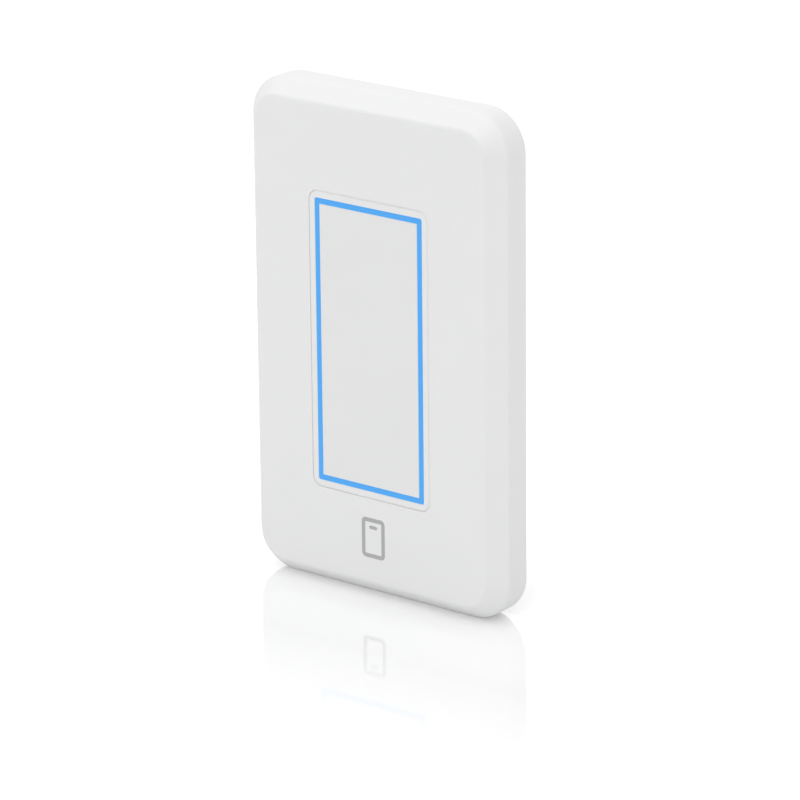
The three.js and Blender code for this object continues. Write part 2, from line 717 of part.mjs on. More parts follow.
// The reset button: a flanged cap between the switch and the hole in the back wall.
function resetButton() {
  const inner = MAIN_BOARD.back - TACT.height - RESET.travel - SEAT;
  return turned([
    [0, HOUSING.back - 0.1],
    [1.6, HOUSING.back - 0.1],
    [1.8, HOUSING.back + 0.1],
    [1.8, FLOOR + CLEAR],
    [2.7, FLOOR + CLEAR],
    [2.7, FLOOR + 1.3],
    [1.7, FLOOR + 1.3],
    [1.7, inner],
    [0, inner],
  ]);
}

const TAMPER_SENSOR = { width: 3.2, height: 2.2, deep: 1.6 };
const tamperSensor = () => box(TAMPER_SENSOR.width, TAMPER_SENSOR.height, -TAMPER_SENSOR.deep, -SEAT);

// The dark lens in the back wall: a shallow dome outside, a flange inside and a guide to the sensor.
function tamperLens() {
  const inner = MAIN_BOARD.back - TAMPER_SENSOR.deep - 0.4;
  return turned([
    [0, HOUSING.back - 0.35],
    [1.2, HOUSING.back - 0.25],
    [1.95, HOUSING.back + 0.1],
    [1.95, FLOOR + SEAT],
    [2.9, FLOOR + SEAT],
    [2.9, FLOOR + 1],
    [1.6, FLOOR + 1],
    [1.6, inner],
    [0, inner],
  ]);
}

function ratingLabel() {
  const outline = roundedRect(LABEL.width, LABEL.height, LABEL.radius);
  return slab(outline, HOUSING.back + 0.02, HOUSING.back + LABEL.recess - SEAT, FINE_STEPS);
}

// ---------------------------------------------------------------- assembly

function wallPlate() {
  const group = new THREE.Group();
  group.add(mesh("cover_plate", coverPlate(), MATERIAL.whitePlastic));
  group.add(mesh("sub_plate", subPlate(), MATERIAL.innerPlastic));
  for (const [end, side] of Object.entries(ENDS)) {
    const y = side * PLATE_SCREW_Y;
    group.add(mesh(`plate_screw_${end}`, plateScrew(), MATERIAL.zinc, 0, y, SUB_PLATE_FRONT + SEAT));
  }
  return group;
}

function wallFixing() {
  const group = new THREE.Group();
  group.add(mesh("mounting_yoke", mountingYoke(), MATERIAL.steel));
  for (const [end, side] of Object.entries(ENDS)) {
    const y = side * BOX_SCREW_Y;
    group.add(mesh(`box_screw_${end}`, boxScrew(), MATERIAL.zinc, 0, y, YOKE.thick + SEAT));
    group.add(mesh(`screw_retainer_${end}`, screwRetainer(), MATERIAL.fibre, 0, y));
  }
  return group;
}

function frontModule() {
  const group = new THREE.Group();
  const onBoard = FRONT_BOARD.front + SEAT;
  group.add(mesh("front_housing", frontHousing(), MATERIAL.whitePlastic));
  group.add(mesh("light_ring", lightRing(), MATERIAL.litRing));
  group.add(mesh("read_window", readWindow(), MATERIAL.whitePlastic));
  group.add(mesh("light_baffle", lightBaffle(), MATERIAL.blackFoam));
  group.add(mesh("front_board", frontBoard(), MATERIAL.board));
  group.add(mesh("antenna_coil", antennaCoil(), MATERIAL.copper, 0, COIL.y, onBoard));
  group.add(mesh("ferrite_sheet", ferriteSheet(), MATERIAL.ferrite, 0, COIL.y, FRONT_BOARD.back - SEAT));
  group.add(mesh("board_socket", boardSocket(), MATERIAL.blackPlastic, 0, HEADER.y, FRONT_BOARD.back - SEAT));
  ledPlaces().forEach(([x, y, upright], i) => {
    const led = mesh(`status_led_${i + 1}`, statusLed(), MATERIAL.led, x, y, onBoard);
    led.rotation.z = upright ? Math.PI / 2 : 0;
    group.add(led);
  });
  return group;
}

// The main board with what stands on both of its faces: [name, shape, material, x, y].
function mainBoardGroup() {
  const group = new THREE.Group();
  const onFront = [
    ["processor", flatPackage(9, 1.4, 8, 1), MATERIAL.chip, -6, 9],
    ["reader_chip", flatPackage(5, 0.9, 5, 0.3), MATERIAL.chip, -6, -6],
    ["crystal", crystalCan(), MATERIAL.can, 0.5, -6],
    ["power_inductor", powerInductor(), MATERIAL.ferrite, 8, -4],
    ["capacitor_1", electrolyticCap(), MATERIAL.can, 8.5, 5.5],
    ["capacitor_2", electrolyticCap(), MATERIAL.can, 8.5, 13.5],
    ["board_header", boardHeader(), MATERIAL.blackPlastic, 0, HEADER.y],
  ];
  const onBack = [
    ["tamper_sensor", tamperSensor(), MATERIAL.chip, TAMPER.x, TAMPER.y],
    ["reset_switch", tactSwitch(), MATERIAL.can, RESET.x, RESET.y],
    ["dip_switch", dipSwitch(), MATERIAL.fibre, DIP.x, DIP.y],
    ["dip_slider_1", dipSlider(), MATERIAL.whitePlastic, DIP.x + dipColumns[0], DIP.y],
    ["dip_slider_2", dipSlider(), MATERIAL.whitePlastic, DIP.x + dipColumns[1], DIP.y],
  ];
  group.add(mesh("main_board", mainBoard(), MATERIAL.board));
  group.add(...onFront.map((piece) => mesh(...piece, MAIN_BOARD.front + SEAT)));
  group.add(...onBack.map((piece) => mesh(...piece, MAIN_BOARD.back)));
  group.add(mesh("buzzer", buzzerCan(), MATERIAL.blackPlastic, BUZZER.x, BUZZER.y, MAIN_BOARD.back - SEAT));
  return group;
}

function rearModule() {
  const group = new THREE.Group();
  group.add(mainBoardGroup());
  group.add(mesh("rear_housing", rearHousing(), MATERIAL.blackPlastic));
  group.add(mesh("tamper_lens", tamperLens(), MATERIAL.lens, TAMPER.x, TAMPER.y));
  group.add(mesh("reset_button", resetButton(), MATERIAL.greenPlastic, RESET.x, RESET.y));
  group.add(mesh("rating_label", ratingLabel(), MATERIAL.label, 0, LABEL.y));
  CORNERS.forEach(([sx, sy], i) => {
    const long = mesh(`housing_screw_${i + 1}`, clampScrew(), MATERIAL.zinc);
    long.position.set(sx * CLAMP.x, sy * CLAMP.y, CLAMP.seat - SEAT);
    long.rotation.y = Math.PI;
    group.add(long);
  });
  return group;
}

function terminalBlock() {
  const group = new THREE.Group();
  group.position.y = TERMINAL_Y;
  group.add(mesh("terminal_header", terminalHeader(), MATERIAL.greenPlastic));
  group.add(mesh("terminal_plug", terminalPlug(), MATERIAL.greenPlastic));
  const seat = PLUG.body.back + PLUG.screw.wellDeep - SEAT;
  poleColumns.forEach((x, i) => {
    group.add(mesh(`terminal_screw_${i + 1}`, clampingScrew(), MATERIAL.zinc, x, PLUG.screw.y, seat));
  });
  return group;
}

const reader = new THREE.Group();
reader.add(wallPlate(), wallFixing(), frontModule(), rearModule(), terminalBlock());
reader.rotation.x = Math.PI / 2;

export default reader;
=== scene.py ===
"""Looks for a flush proximity card reader: fine surfaces, materials, stage, lights and camera.

Shapes are described as the reader hangs on a wall, in millimetres: x to the right, y up, and z out of
the wall, with z = 0 at the wall's surface. place() turns such a point into the row frame in metres.
"""

import math
from collections import namedtuple

import bmesh
import bpy
from mathutils import Matrix, Vector


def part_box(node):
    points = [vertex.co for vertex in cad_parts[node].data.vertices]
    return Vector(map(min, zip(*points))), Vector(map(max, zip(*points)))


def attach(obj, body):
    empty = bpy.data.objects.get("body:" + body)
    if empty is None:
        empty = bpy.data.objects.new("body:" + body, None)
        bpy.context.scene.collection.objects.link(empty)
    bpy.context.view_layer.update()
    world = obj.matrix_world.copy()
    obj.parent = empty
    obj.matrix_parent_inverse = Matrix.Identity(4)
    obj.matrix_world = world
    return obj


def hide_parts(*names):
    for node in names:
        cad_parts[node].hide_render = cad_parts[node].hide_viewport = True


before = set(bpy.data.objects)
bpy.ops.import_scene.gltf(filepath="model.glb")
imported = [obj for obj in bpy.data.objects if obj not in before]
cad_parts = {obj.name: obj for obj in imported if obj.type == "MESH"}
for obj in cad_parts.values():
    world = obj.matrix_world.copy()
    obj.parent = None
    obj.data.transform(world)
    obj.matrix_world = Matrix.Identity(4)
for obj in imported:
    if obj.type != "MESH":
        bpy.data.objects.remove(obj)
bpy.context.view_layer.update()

# ---------------- numbers

MM = 0.001
CORNER_STEPS = 12  # segments in each rounded corner of a large outline
SMALL_STEPS = 4  # segments in each rounded corner of a small one
FILLET_STEPS = 4  # segments in each rounded edge
ROUND_STEPS = 48  # segments round a turned piece
HOLE_STEPS = 32  # segments round a hole
TINY = 0.02  # the smallest corner radius
OVERLAP = 0.2  # how far joined shapes run into each other
PAST = 1.0  # how far a cutting shape runs past the face that it cuts
SHARP = math.radians(32)  # edges that turn by more than this stay sharp
WELD_REACH = 0.001  # points nearer to each other than this are one
WHITE = (1, 1, 1, 1)
SIDES = (1, -1)
CORNERS = ((1, 1), (-1, 1), (-1, -1), (1, -1))

BEVEL = {"inward": 3.53, "deep": 3.93}  # the flat bevel round the plate's front edge
PLATE_RADIUS = 9.5
PLATE_WALL = 1.6
PLATE_FRONT_WALL = 2.0
FACE_RADIUS = 2.15
BODY_RADIUS = 2.6
OPENING_GAP = 0.3  # between the plate's opening and the reader's face
LIT_SPREAD = 0.07  # how far the light spreads into the plastic on each side of the lit outline
RING_LINE = 1.15 + 2 * LIT_SPREAD  # width of the lit outline
RING_RADIUS = 0.42
HOUSING_RADIUS = 3.0
GROOVE = {"wide": 0.26, "deep": 0.14}  # the step round the reader's face that closes most of that gap
HAIRLINE = 0.012  # the joint between the lit outline and the pieces beside it

# The camera, from a fit of the plate's straight edges: it looks from the front right and above.
CAMERA = {"azimuth": 38.60, "elevation": 17.72, "roll": -0.58, "distance": 1022.93}
CAMERA_AIM = {"right": 6.55, "up": -10.67}  # what it looks at, from the centre of the plate's front
CAMERA_LENS = 211.76
SENSOR_WIDTH = 36.0
CAMERA_SEES = 20.0  # how far, in metres

# ---------------- places

Extent = namedtuple("Extent", "left right bottom top back front")


def place(x, y, z):
    """A point of the wall's frame in millimetres, as a point of the row frame in metres."""
    return Vector((x, -z, y)) * MM


def extent(node):
    """A CAD node's box in the wall's frame, in millimetres."""
    low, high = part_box(node)
    return Extent(low.x / MM, high.x / MM, low.z / MM, high.z / MM, -high.y / MM, -low.y / MM)


def middle(node):
    """The centre of a CAD node's box, seen from the front."""
    e = extent(node)
    return (e.left + e.right) / 2, (e.bottom + e.top) / 2


# ---------------- shapes


class Outline:
    """A rectangle with round corners. Two outlines with as many steps in their corners can be joined."""

    def __init__(self, width, height, radius, x=0.0, y=0.0, steps=CORNER_STEPS):
        self.width, self.height, self.radius = width, height, radius
        self.x, self.y, self.steps = x, y, steps

    def loop(self, inset=0.0):
        radius = max(self.radius - inset, TINY)
        across = self.width / 2 - inset - radius
        along = self.height / 2 - inset - radius
        points = []
        for turn, (sx, sy) in enumerate(CORNERS):
            for step in range(self.steps + 1):
                angle = (turn + step / self.steps) * math.pi / 2
                x = self.x + sx * across + radius * math.cos(angle)
                y = self.y + sy * along + radius * math.sin(angle)
                points.append((x, y))
        return points

    def grown(self, by):
        radius = max(self.radius + by, TINY)
        return Outline(self.width + 2 * by, self.height + 2 * by, radius, self.x, self.y, self.steps)

    def middle_inset(self):
        """An inset that is surely inside the outline's corners."""
        return min(self.width, self.height) / 4


def small_outline(width, height, radius, x=0.0, y=0.0):
    return Outline(width, height, radius, x, y, SMALL_STEPS)


def outline_of(node, radius):
    e = extent(node)
    x, y = middle(node)
    return Outline(e.right - e.left, e.top - e.bottom, radius, x, y)


def arc_points(corner, before, after, fillet):
    """The points of an arc that rounds a corner, in the plane of a section."""
    if fillet <= 0:
        return [corner]
    to_before = (before - corner).normalized()
    to_after = (after - corner).normalized()
    angle = to_before.angle(to_after)
    if angle > math.radians(179):
        return [corner]
    reach = fillet / math.tan(angle / 2)
    centre = corner + (to_before + to_after).normalized() * fillet / math.sin(angle / 2)
    start = corner + to_before * reach - centre
    end = corner + to_after * reach - centre
    sweep = start.angle(end)
    points = []
    for step in range(FILLET_STEPS + 1):
        share = step / FILLET_STEPS
        mix = start * math.sin((1 - share) * sweep) + end * math.sin(share * sweep)
        points.append(centre + mix / math.sin(sweep))
    return points


def rounded_section(corners, closed=True):
    """Rounds the corners of a section. A corner is (outline, inset, z, fillet); the result has no fillets.

    Between two outlines a section runs level, so there only the side on which the other outline lies matters.
    """
    rings = []
    last = len(corners) - 1
    for i, (outline, inset, z, fillet) in enumerate(corners):
        here = Vector((inset, z))
        if not closed and i in (0, last):
            rings.append((outline, inset, z))
            continue
        neighbours = []
        for other, other_inset, other_z, _ in (corners[i - 1], corners[(i + 1) % len(corners)]):
            if other is outline:
                neighbours.append(Vector((other_inset, other_z)))
            else:
                inside = other.width - 2 * other_inset < outline.width - 2 * inset
                neighbours.append(here + Vector((1 if inside else -1, 0)))
        rings += [(outline, p.x, p.y) for p in arc_points(here, *neighbours, fillet)]
    return rings


def in_scene(name, data):
    made = bpy.data.objects.new(name, data)
    bpy.context.scene.collection.objects.link(made)
    return made


def new_object(name, vertices, faces):
    mesh = bpy.data.meshes.new(name)
    mesh.from_pydata([place(*v) for v in vertices], [], faces)
    mesh.validate()
    face_outwards(mesh)
    return in_scene(name, mesh)


def face_outwards(mesh):
    work = bmesh.new()
    work.from_mesh(mesh)
    bmesh.ops.recalc_face_normals(work, faces=work.faces)
    work.to_mesh(mesh)
    work.free()


def bridge(rows, count, closed_rows, caps):
    """Faces that join rows of count points each, round and round."""
    faces = []
    last = rows if closed_rows else rows - 1
    for row in range(last):
        below, above = row * count, ((row + 1) % rows) * count
        for i in range(count):
            j = (i + 1) % count
            faces.append((below + i, below + j, above + j, above + i))
    if caps:
        faces.append(tuple(range(count)))
        faces.append(tuple(range((rows - 1) * count, rows * count)))
    return faces


def loft(name, *corners, closed=True):
    """A piece whose section follows its outlines: closed, a frame; open, a solid with two flat ends."""
    rings = rounded_section(corners, closed)
    loops = [[(x, y, z) for x, y in outline.loop(inset)] for outline, inset, z in rings]
    vertices = [v for loop in loops for v in loop]
    return new_object(name, vertices, bridge(len(loops), len(loops[0]), closed, not closed))


def slab(name, outline, back, front, edge=0.0):
    """A flat piece of that outline, with its edges rounded."""
    inset = outline.middle_inset()
    return loft(
        name,
        (outline, inset, back, 0),
        (outline, 0, back, edge),
        (outline, 0, front, edge),
        (outline, inset, front, 0),
        closed=False,
    )


def open_box(name, outside, inside, base, floor, mouth, fillets):
    """A box that is open at z = mouth. The fillets are those of its floor, its two rims and its base."""
    at_floor, inner_rim, outer_rim, at_base = fillets
    return loft(
        name,
        (inside, inside.middle_inset(), floor, 0),
        (inside, 0, floor, at_floor),
        (inside, 0, mouth, inner_rim),
        (outside, 0, mouth, outer_rim),
        (outside, 0, base, at_base),
        (outside, outside.middle_inset(), base, 0),
        closed=False,
    )


def hole_section(mouth, end, flare, through):
    """How a hole narrows from its mouth to its end: pairs of (how much wider, z)."""
    outward = 1 if mouth > end else -1
    section = [(flare, mouth + outward * PAST), (flare, mouth), (0, mouth - outward * flare)]
    if through:
        return section + [(0, end + outward * flare), (flare, end), (flare, end - outward * PAST)]
    return section + [(0, end)]


def hole(outline, mouth, end, flare=0.0, through=False):
    """A shape that cuts a hole from the face at z = mouth to z = end, flared a little at its mouth.

    A hole that goes through is flared at both ends.
    """
    section = hole_section(mouth, end, flare, through)
    return loft("hole", *((outline, -wider, z, 0) for wider, z in section), closed=False)


def round_hole(radius, mouth, end, x=0.0, y=0.0, flare=0.0, through=False):
    section = [(radius + wider, z) for wider, z in hole_section(mouth, end, flare, through)]
    return turned("hole", [(0, section[0][1]), *section, (0, section[-1][1])], x, y, HOLE_STEPS)


def ring_of(radius, z, steps, rise=0.0, x=0.0, y=0.0):
    """A ring of points about an axis along z, which climbs by rise in one turn."""
    points = []
    for i in range(steps):
        angle = 2 * math.pi * i / steps
        points.append((x + radius * math.cos(angle), y + radius * math.sin(angle), z + rise * i / steps))
    return points


def turned(name, profile, x=0.0, y=0.0, steps=ROUND_STEPS):
    """A piece turned about an axis along z. Its profile is (radius, z) points, with both ends on the axis."""
    inner = profile[1:-1]
    vertices = [(x, y, profile[0][1]), (x, y, profile[-1][1])]
    for radius, z in inner:
        vertices += ring_of(radius, z, steps, 0, x, y)
    faces = [tuple(i + 2 for i in face) for face in bridge(len(inner), steps, False, False)]
    top_row = 2 + (len(inner) - 1) * steps
    for i in range(steps):
        j = (i + 1) % steps
        faces.append((0, 2 + j, 2 + i))
        faces.append((1, top_row + i, top_row + j))
    return new_object(name, vertices, faces)


def threaded(name, tip, thread, pitch, turns, head, steps):
    """A screw along z: the tip's profile, then a helical thread, then the head's profile.

    The thread is one turn's list of (radius, z). Its rows climb with the helix, so that its crest is sharp.
    """
    parts = len(thread)
    rings = [ring_of(radius, z, steps) for radius, z in tip[1:]]
    first = len(rings)
    for k in range(parts * turns + 1):
        radius, z = thread[k % parts]
        rings.append(ring_of(radius, z + pitch * (k // parts), steps, pitch))
    last = len(rings) - 1
    rings += [ring_of(radius, z, steps) for radius, z in head[:-1]]
    vertices = [point for points in rings for point in points] + [(0, 0, tip[0][1]), (0, 0, head[-1][1])]
    end = steps - 1

    def at(row, i):
        return row * steps + i

    faces = []
    for row in range(len(rings) - 1):
        for i in range(end):
            faces.append((at(row, i), at(row, i + 1), at(row + 1, i + 1), at(row + 1, i)))
        if row < first - 1 or row > last:
            faces.append((at(row, end), at(row, 0), at(row + 1, 0), at(row + 1, end)))
        elif first <= row < last - parts:
            faces.append((at(row, end), at(row + parts, 0), at(row + parts + 1, 0), at(row + 1, end)))
    start = [at(first + k, 0) for k in range(parts + 1)]
    faces.append((at(first - 1, end), at(first - 1, 0), *start, at(first, end)))
    finish = [at(last - k, end) for k in range(parts + 1)]
    faces.append((at(last, 0), at(last + 1, 0), at(last + 1, end), *finish))
    for i in range(steps):
        j = (i + 1) % steps
        faces.append((len(vertices) - 2, at(0, j), at(0, i)))
        faces.append((len(vertices) - 1, at(len(rings) - 1, i), at(len(rings) - 1, j)))
    return new_object(name, vertices, faces)


def lifted(points, z):
    """Points of a profile, moved along z."""
    return [(radius, z + up) for radius, up in points]


def rod(name, radius, back, front, x=0.0, y=0.0, steps=ROUND_STEPS):
    return turned(name, [(0, back), (radius, back), (radius, front), (0, front)], x, y, steps)


def combine(base, tools, operation):
    """Joins the tools to the base, or cuts them out of it, and removes them."""
    for tool in tools:
        modifier = base.modifiers.new("combine", "BOOLEAN")
        modifier.object = tool
        modifier.operation = operation
        modifier.solver = "EXACT"
    bpy.context.view_layer.update()
    evaluated = base.evaluated_get(bpy.context.evaluated_depsgraph_get())
    mesh = bpy.data.meshes.new_from_object(evaluated)
    mesh.name = base.name
    base.modifiers.clear()
    base.data = mesh
    for tool in tools:
        bpy.data.objects.remove(tool)
    return base


def cut(base, *tools):
    return combine(base, tools, "DIFFERENCE")


def join(base, *tools):
    return combine(base, tools, "UNION")


def gather(name, pieces):
    """One object that holds several separate solids."""
    work = bmesh.new()
    for piece in pieces:
        work.from_mesh(piece.data)
        bpy.data.objects.remove(piece)
    mesh = bpy.data.meshes.new(name)
    work.to_mesh(mesh)
    work.free()
    return in_scene(name, mesh)


def soften(piece, edge):
    """Rounds the sharp edges a little."""
    bevel = piece.modifiers.new("soft_edges", "BEVEL")
    bevel.width = edge * MM
    bevel.segments = 2
    bevel.limit_method = "ANGLE"
    bevel.angle_limit = SHARP
    bevel.use_clamp_overlap = True


def dress(piece, body, slot, *nodes, material=None):
    """Gives a piece its smooth shading, its material and its place in the frame.

    The material is the slot's own, unless another one is given. The nodes are those that the piece replaces.
    """
    mesh = piece.data
    mesh.materials.clear()
    mesh.materials.append(material or PAINT[slot])
    mesh.polygons.foreach_set("use_smooth", [True] * len(mesh.polygons))
    mesh.set_sharp_from_angle(angle=SHARP)
    normals = piece.modifiers.new("even_normals", "WEIGHTED_NORMAL")
    normals.keep_sharp = True
    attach(piece, body)
    if nodes:
        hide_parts(*nodes)


def finish_node(name, material, edge):
    """Keeps a CAD node's shape, softens its edges and gives it its material."""
    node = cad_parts[name]
    for place_in_node in node.material_slots:
        place_in_node.material = material
    weld = node.modifiers.new("weld", "WELD")
    weld.merge_threshold = WELD_REACH * MM
    soften(node, edge)


# ---------------- materials


def shader(name, color, roughness, metallic=0.0, **sockets):
    """A new material and its shader node. Extra sockets are given by name, with _ for a space."""
    material = bpy.data.materials.new(name)
    material.use_nodes = True
    node = material.node_tree.nodes["Principled BSDF"]
    node.inputs["Base Color"].default_value = (*color, 1)
    node.inputs["Roughness"].default_value = roughness
    node.inputs["Metallic"].default_value = metallic
    for socket, value in sockets.items():
        node.inputs[socket.replace("_", " ")].default_value = value
    return material, node


def add_node(owner, kind, **settings):
    """A new node of a material or a world. Its inputs are given by name, with _ for a space."""
    node = owner.node_tree.nodes.new(kind)
    for key, value in settings.items():
        if hasattr(node, key):
            setattr(node, key, value)
        else:
            node.inputs[key.replace("_", " ")].default_value = value
    return node


def link(owner, source, target):
    owner.node_tree.links.new(source, target)


def map_range(owner, value, low, high, to_low=0.0, to_high=1.0, **settings):
    """Maps low..high to to_low..to_high; what lies outside gets the nearer end."""
    node = add_node(owner, "ShaderNodeMapRange", From_Min=low, From_Max=high, **settings)
    node.inputs["To Min"].default_value = to_low
    node.inputs["To Max"].default_value = to_high
    link(owner, value, node.inputs["Value"])
    return node.outputs["Result"]


def calculate(owner, operation, *values):
    """The result of an operation on numbers and sockets."""
    node = add_node(owner, "ShaderNodeMath", operation=operation)
    for socket, value in zip(node.inputs, values):
        if isinstance(value, float):
            socket.default_value = value
        else:
            link(owner, value, socket)
    return node.outputs["Value"]


def mix_shaders(owner, share, first, second, output):
    """Ends in the output node with the first shader, or with the second where share is 1."""
    mix = add_node(owner, "ShaderNodeMixShader")
    for socket, source in zip(mix.inputs, (share, first, second)):
        link(owner, source, socket)
    link(owner, mix.outputs["Shader"], owner.node_tree.nodes[output].inputs["Surface"])


def texture(material, kind, output, stretch=None, **settings):
    """A texture in the piece's own coordinates, so that its scale is in waves per metre.

    stretch divides its scale along x, y and z.
    """
    where = add_node(material, "ShaderNodeTexCoord").outputs["Object"]
    if stretch:
        squeeze = add_node(material, "ShaderNodeMapping", Scale=tuple(1 / s for s in stretch))
        link(material, where, squeeze.inputs["Vector"])
        where = squeeze.outputs["Vector"]
    node = add_node(material, kind, **settings)
    link(material, where, node.inputs["Vector"])
    return node.outputs[output]


def noise(material, scale, detail=3.0, stretch=None):
    return texture(material, "ShaderNodeTexNoise", "Fac", stretch, Scale=scale, Detail=detail)


def cells(material, scale, **settings):
    """A pattern of cells: the distance from each cell's centre, or from its border."""
    return texture(material, "ShaderNodeTexVoronoi", "Distance", Scale=scale, **settings)


MIX_COLORS = {"A": 6, "B": 7, "Result": 2}  # the colour sockets of a mix node
NOISE_LOW, NOISE_HIGH = 0.3, 0.7  # most of a noise lies between these


def ramp(material, source, low, high):
    """A number or a colour between low and high, as the source goes from 0 to 1.

    Numbers reach their ends at the limits that noise seldom passes.
    """
    if isinstance(low, tuple):
        mapped = add_node(material, "ShaderNodeMix", data_type="RGBA")
        mapped.inputs[MIX_COLORS["A"]].default_value = (*low, 1)
        mapped.inputs[MIX_COLORS["B"]].default_value = (*high, 1)
        link(material, source, mapped.inputs["Factor"])
        return mapped.outputs[MIX_COLORS["Result"]]
    return map_range(material, source, NOISE_LOW, NOISE_HIGH, low, high)


def add_bump(material, node, source, strength, depth):
    bump = add_node(material, "ShaderNodeBump", Strength=strength, Distance=depth * MM)
    link(material, source, bump.inputs["Height"])
    link(material, bump.outputs["Normal"], node.inputs["Normal"])


def moulded(name, color, roughness, grain=9000.0, depth=0.004, strength=0.25, mottle=0.015):
    """Moulded plastic: a fine spark-eroded grain, and a colour and gloss that drift a little."""
    material, node = shader(name, color, roughness)
    drift = noise(material, 60.0, 2.0)
    darker = tuple(c * (1 - mottle) for c in color)
    lighter = tuple(min(c * (1 + mottle), 1) for c in color)
    link(material, ramp(material, drift, darker, lighter), node.inputs["Base Color"])
    link(material, ramp(material, drift, roughness * 0.9, roughness * 1.1), node.inputs["Roughness"])
    add_bump(material, node, noise(material, grain), strength, depth)
    return material


def lit_guide(name, color, glow):
    """A light guide, lit from behind: an even glow over a satin surface."""
    material, node = shader(name, color, 0.35, Emission_Strength=1.0)
    spots = noise(material, 45.0, 1.0)
    dim = tuple(c * 0.97 for c in glow)
    link(material, ramp(material, spots, dim, glow), node.inputs["Emission Color"])
    return material


def plated(name, color, tint, roughness, streak=2500.0, stretch=(1, 1, 12)):
    """Plated metal: a colour that drifts towards a tint, fine streaks and small uneven spots."""
    material, node = shader(name, color, roughness, metallic=1.0)
    drift = noise(material, 220.0, 3.0)
    link(material, ramp(material, drift, color, tint), node.inputs["Base Color"])
    lines = noise(material, streak, 4.0, stretch)
    link(material, ramp(material, lines, roughness * 0.75, roughness * 1.3), node.inputs["Roughness"])
    add_bump(material, node, lines, 0.2, 0.004)
    return material


def speckled(name, color, fleck, roughness, scale, depth):
    """A sintered, foamed or pressed material: small cells with uneven colour and a pitted surface."""
    material, node = shader(name, color, roughness)
    pits = cells(material, scale)
    link(material, ramp(material, noise(material, scale * 0.6), color, fleck), node.inputs["Base Color"])
    add_bump(material, node, pits, 0.5, depth)
    return material


def circuit_board(name):
    """Green solder mask over etched tracks, which show as slightly raised, lighter lines."""
    ground, track = (0.010, 0.090, 0.035), (0.022, 0.165, 0.062)
    material, node = shader(name, ground, 0.3, Coat_Weight=0.4, Coat_Roughness=0.15)
    border = cells(material, 420.0, feature="DISTANCE_TO_EDGE", distance="MANHATTAN")
    line = map_range(material, border, 0.05, 0.11, interpolation_type="SMOOTHSTEP")
    link(material, ramp(material, line, track, ground), node.inputs["Base Color"])
    add_bump(material, node, line, -0.4, 0.03)
    return material


def infrared_lens(name):
    """A dark red, almost black window, polished."""
    material, node = shader(name, (0.05, 0.004, 0.006), 0.08, Coat_Weight=0.6, Coat_Roughness=0.03)
    cloud = ramp(material, noise(material, 300.0, 2.0), (0.045, 0.003, 0.005), (0.07, 0.006, 0.008))
    link(material, cloud, node.inputs["Base Color"])
    return material


PAINT = {
    "white_plastic": moulded("white_satin_plastic", (0.77, 0.772, 0.772), 0.42),
    "window_plastic": moulded(
        "opal_window_plastic", (0.745, 0.747, 0.747), 0.36, grain=14000.0, depth=0.002
    ),
    "lit_ring": lit_guide("blue_light_guide", (0.03, 0.08, 0.14), (0.025, 0.288, 0.725)),
    "print": moulded("grey_pad_print", (0.40, 0.40, 0.405), 0.5, mottle=0.03),
    "inner_plastic": moulded("pale_structural_plastic", (0.60, 0.61, 0.605), 0.55, 5000.0, 0.01, 0.3, 0.03),
    "black_plastic": moulded("black_textured_plastic", (0.018, 0.018, 0.020), 0.5, 3500.0, 0.02, 0.5, 0.15),
    "terminal_plastic": moulded("green_terminal_plastic", (0.025, 0.27, 0.085), 0.4, 6000.0, mottle=0.05),
    "button_plastic": moulded("amber_button_plastic", (0.62, 0.17, 0.025), 0.38, 6000.0, mottle=0.05),
    "switch_plastic": moulded("blue_switch_plastic", (0.02, 0.07, 0.30), 0.42, 6000.0, mottle=0.05),
    "slider_plastic": moulded("white_slider_plastic", (0.78, 0.78, 0.75), 0.45, 7000.0),
    "chip_resin": moulded("moulded_chip_resin", (0.014, 0.014, 0.015), 0.48, 7000.0, 0.01, 0.5, 0.2),
    "led_resin": moulded("pale_lamp_resin", (0.72, 0.70, 0.42), 0.25, 8000.0, mottle=0.08),
    "label_film": moulded("matt_label_film", (0.74, 0.74, 0.72), 0.5, 4000.0, 0.006, 0.4, 0.03),
    "fibre": speckled("red_pressed_fibre", (0.30, 0.035, 0.022), (0.42, 0.075, 0.045), 0.75, 2600.0, 0.03),
    "light_foam": speckled("black_foam", (0.010, 0.010, 0.011), (0.025, 0.025, 0.027), 0.9, 2400.0, 0.12),
    "ferrite": speckled("sintered_ferrite", (0.030, 0.030, 0.033), (0.055, 0.055, 0.06), 0.55, 5200.0, 0.02),
    "board_laminate": circuit_board("green_circuit_board"),
    "dark_lens": infrared_lens("infrared_lens"),
    "yoke_steel": plated("zinc_plated_steel", (0.56, 0.57, 0.585), (0.66, 0.66, 0.64), 0.36),
    "screw_zinc": plated(
        "bright_zinc_screw", (0.44, 0.46, 0.49), (0.54, 0.54, 0.51), 0.32, streak=1800.0, stretch=(1, 1, 4)
    ),
    "coil_copper": plated("etched_copper", (0.80, 0.40, 0.20), (0.88, 0.50, 0.28), 0.3, 3000.0, (1, 1, 1)),
    "metal_can": plated("drawn_metal_can", (0.66, 0.67, 0.68), (0.74, 0.74, 0.74), 0.22, 2600.0, (1, 8, 1)),
}


# ---------------- the front

plate = extent("cover_plate")
face = extent("front_housing")
ring = extent("light_ring")

PLATE = outline_of("cover_plate", PLATE_RADIUS)
FACE = Outline(32.14, 67.56, FACE_RADIUS)
OPENING = FACE.grown(OPENING_GAP)
RING = Outline(29.23, 64.61, RING_RADIUS).grown(LIT_SPREAD)

COLLAR = {"long": 3.15, "thick": 1.2}  # round the plate's opening
PRY_SLOT = {"long": 12, "high": 4, "deep": 1.6}
CLIP_RIB = {"long": 6, "reach": 1.1, "back": 0.6, "front": 5.5, "side_y": 30, "end_x": 14}


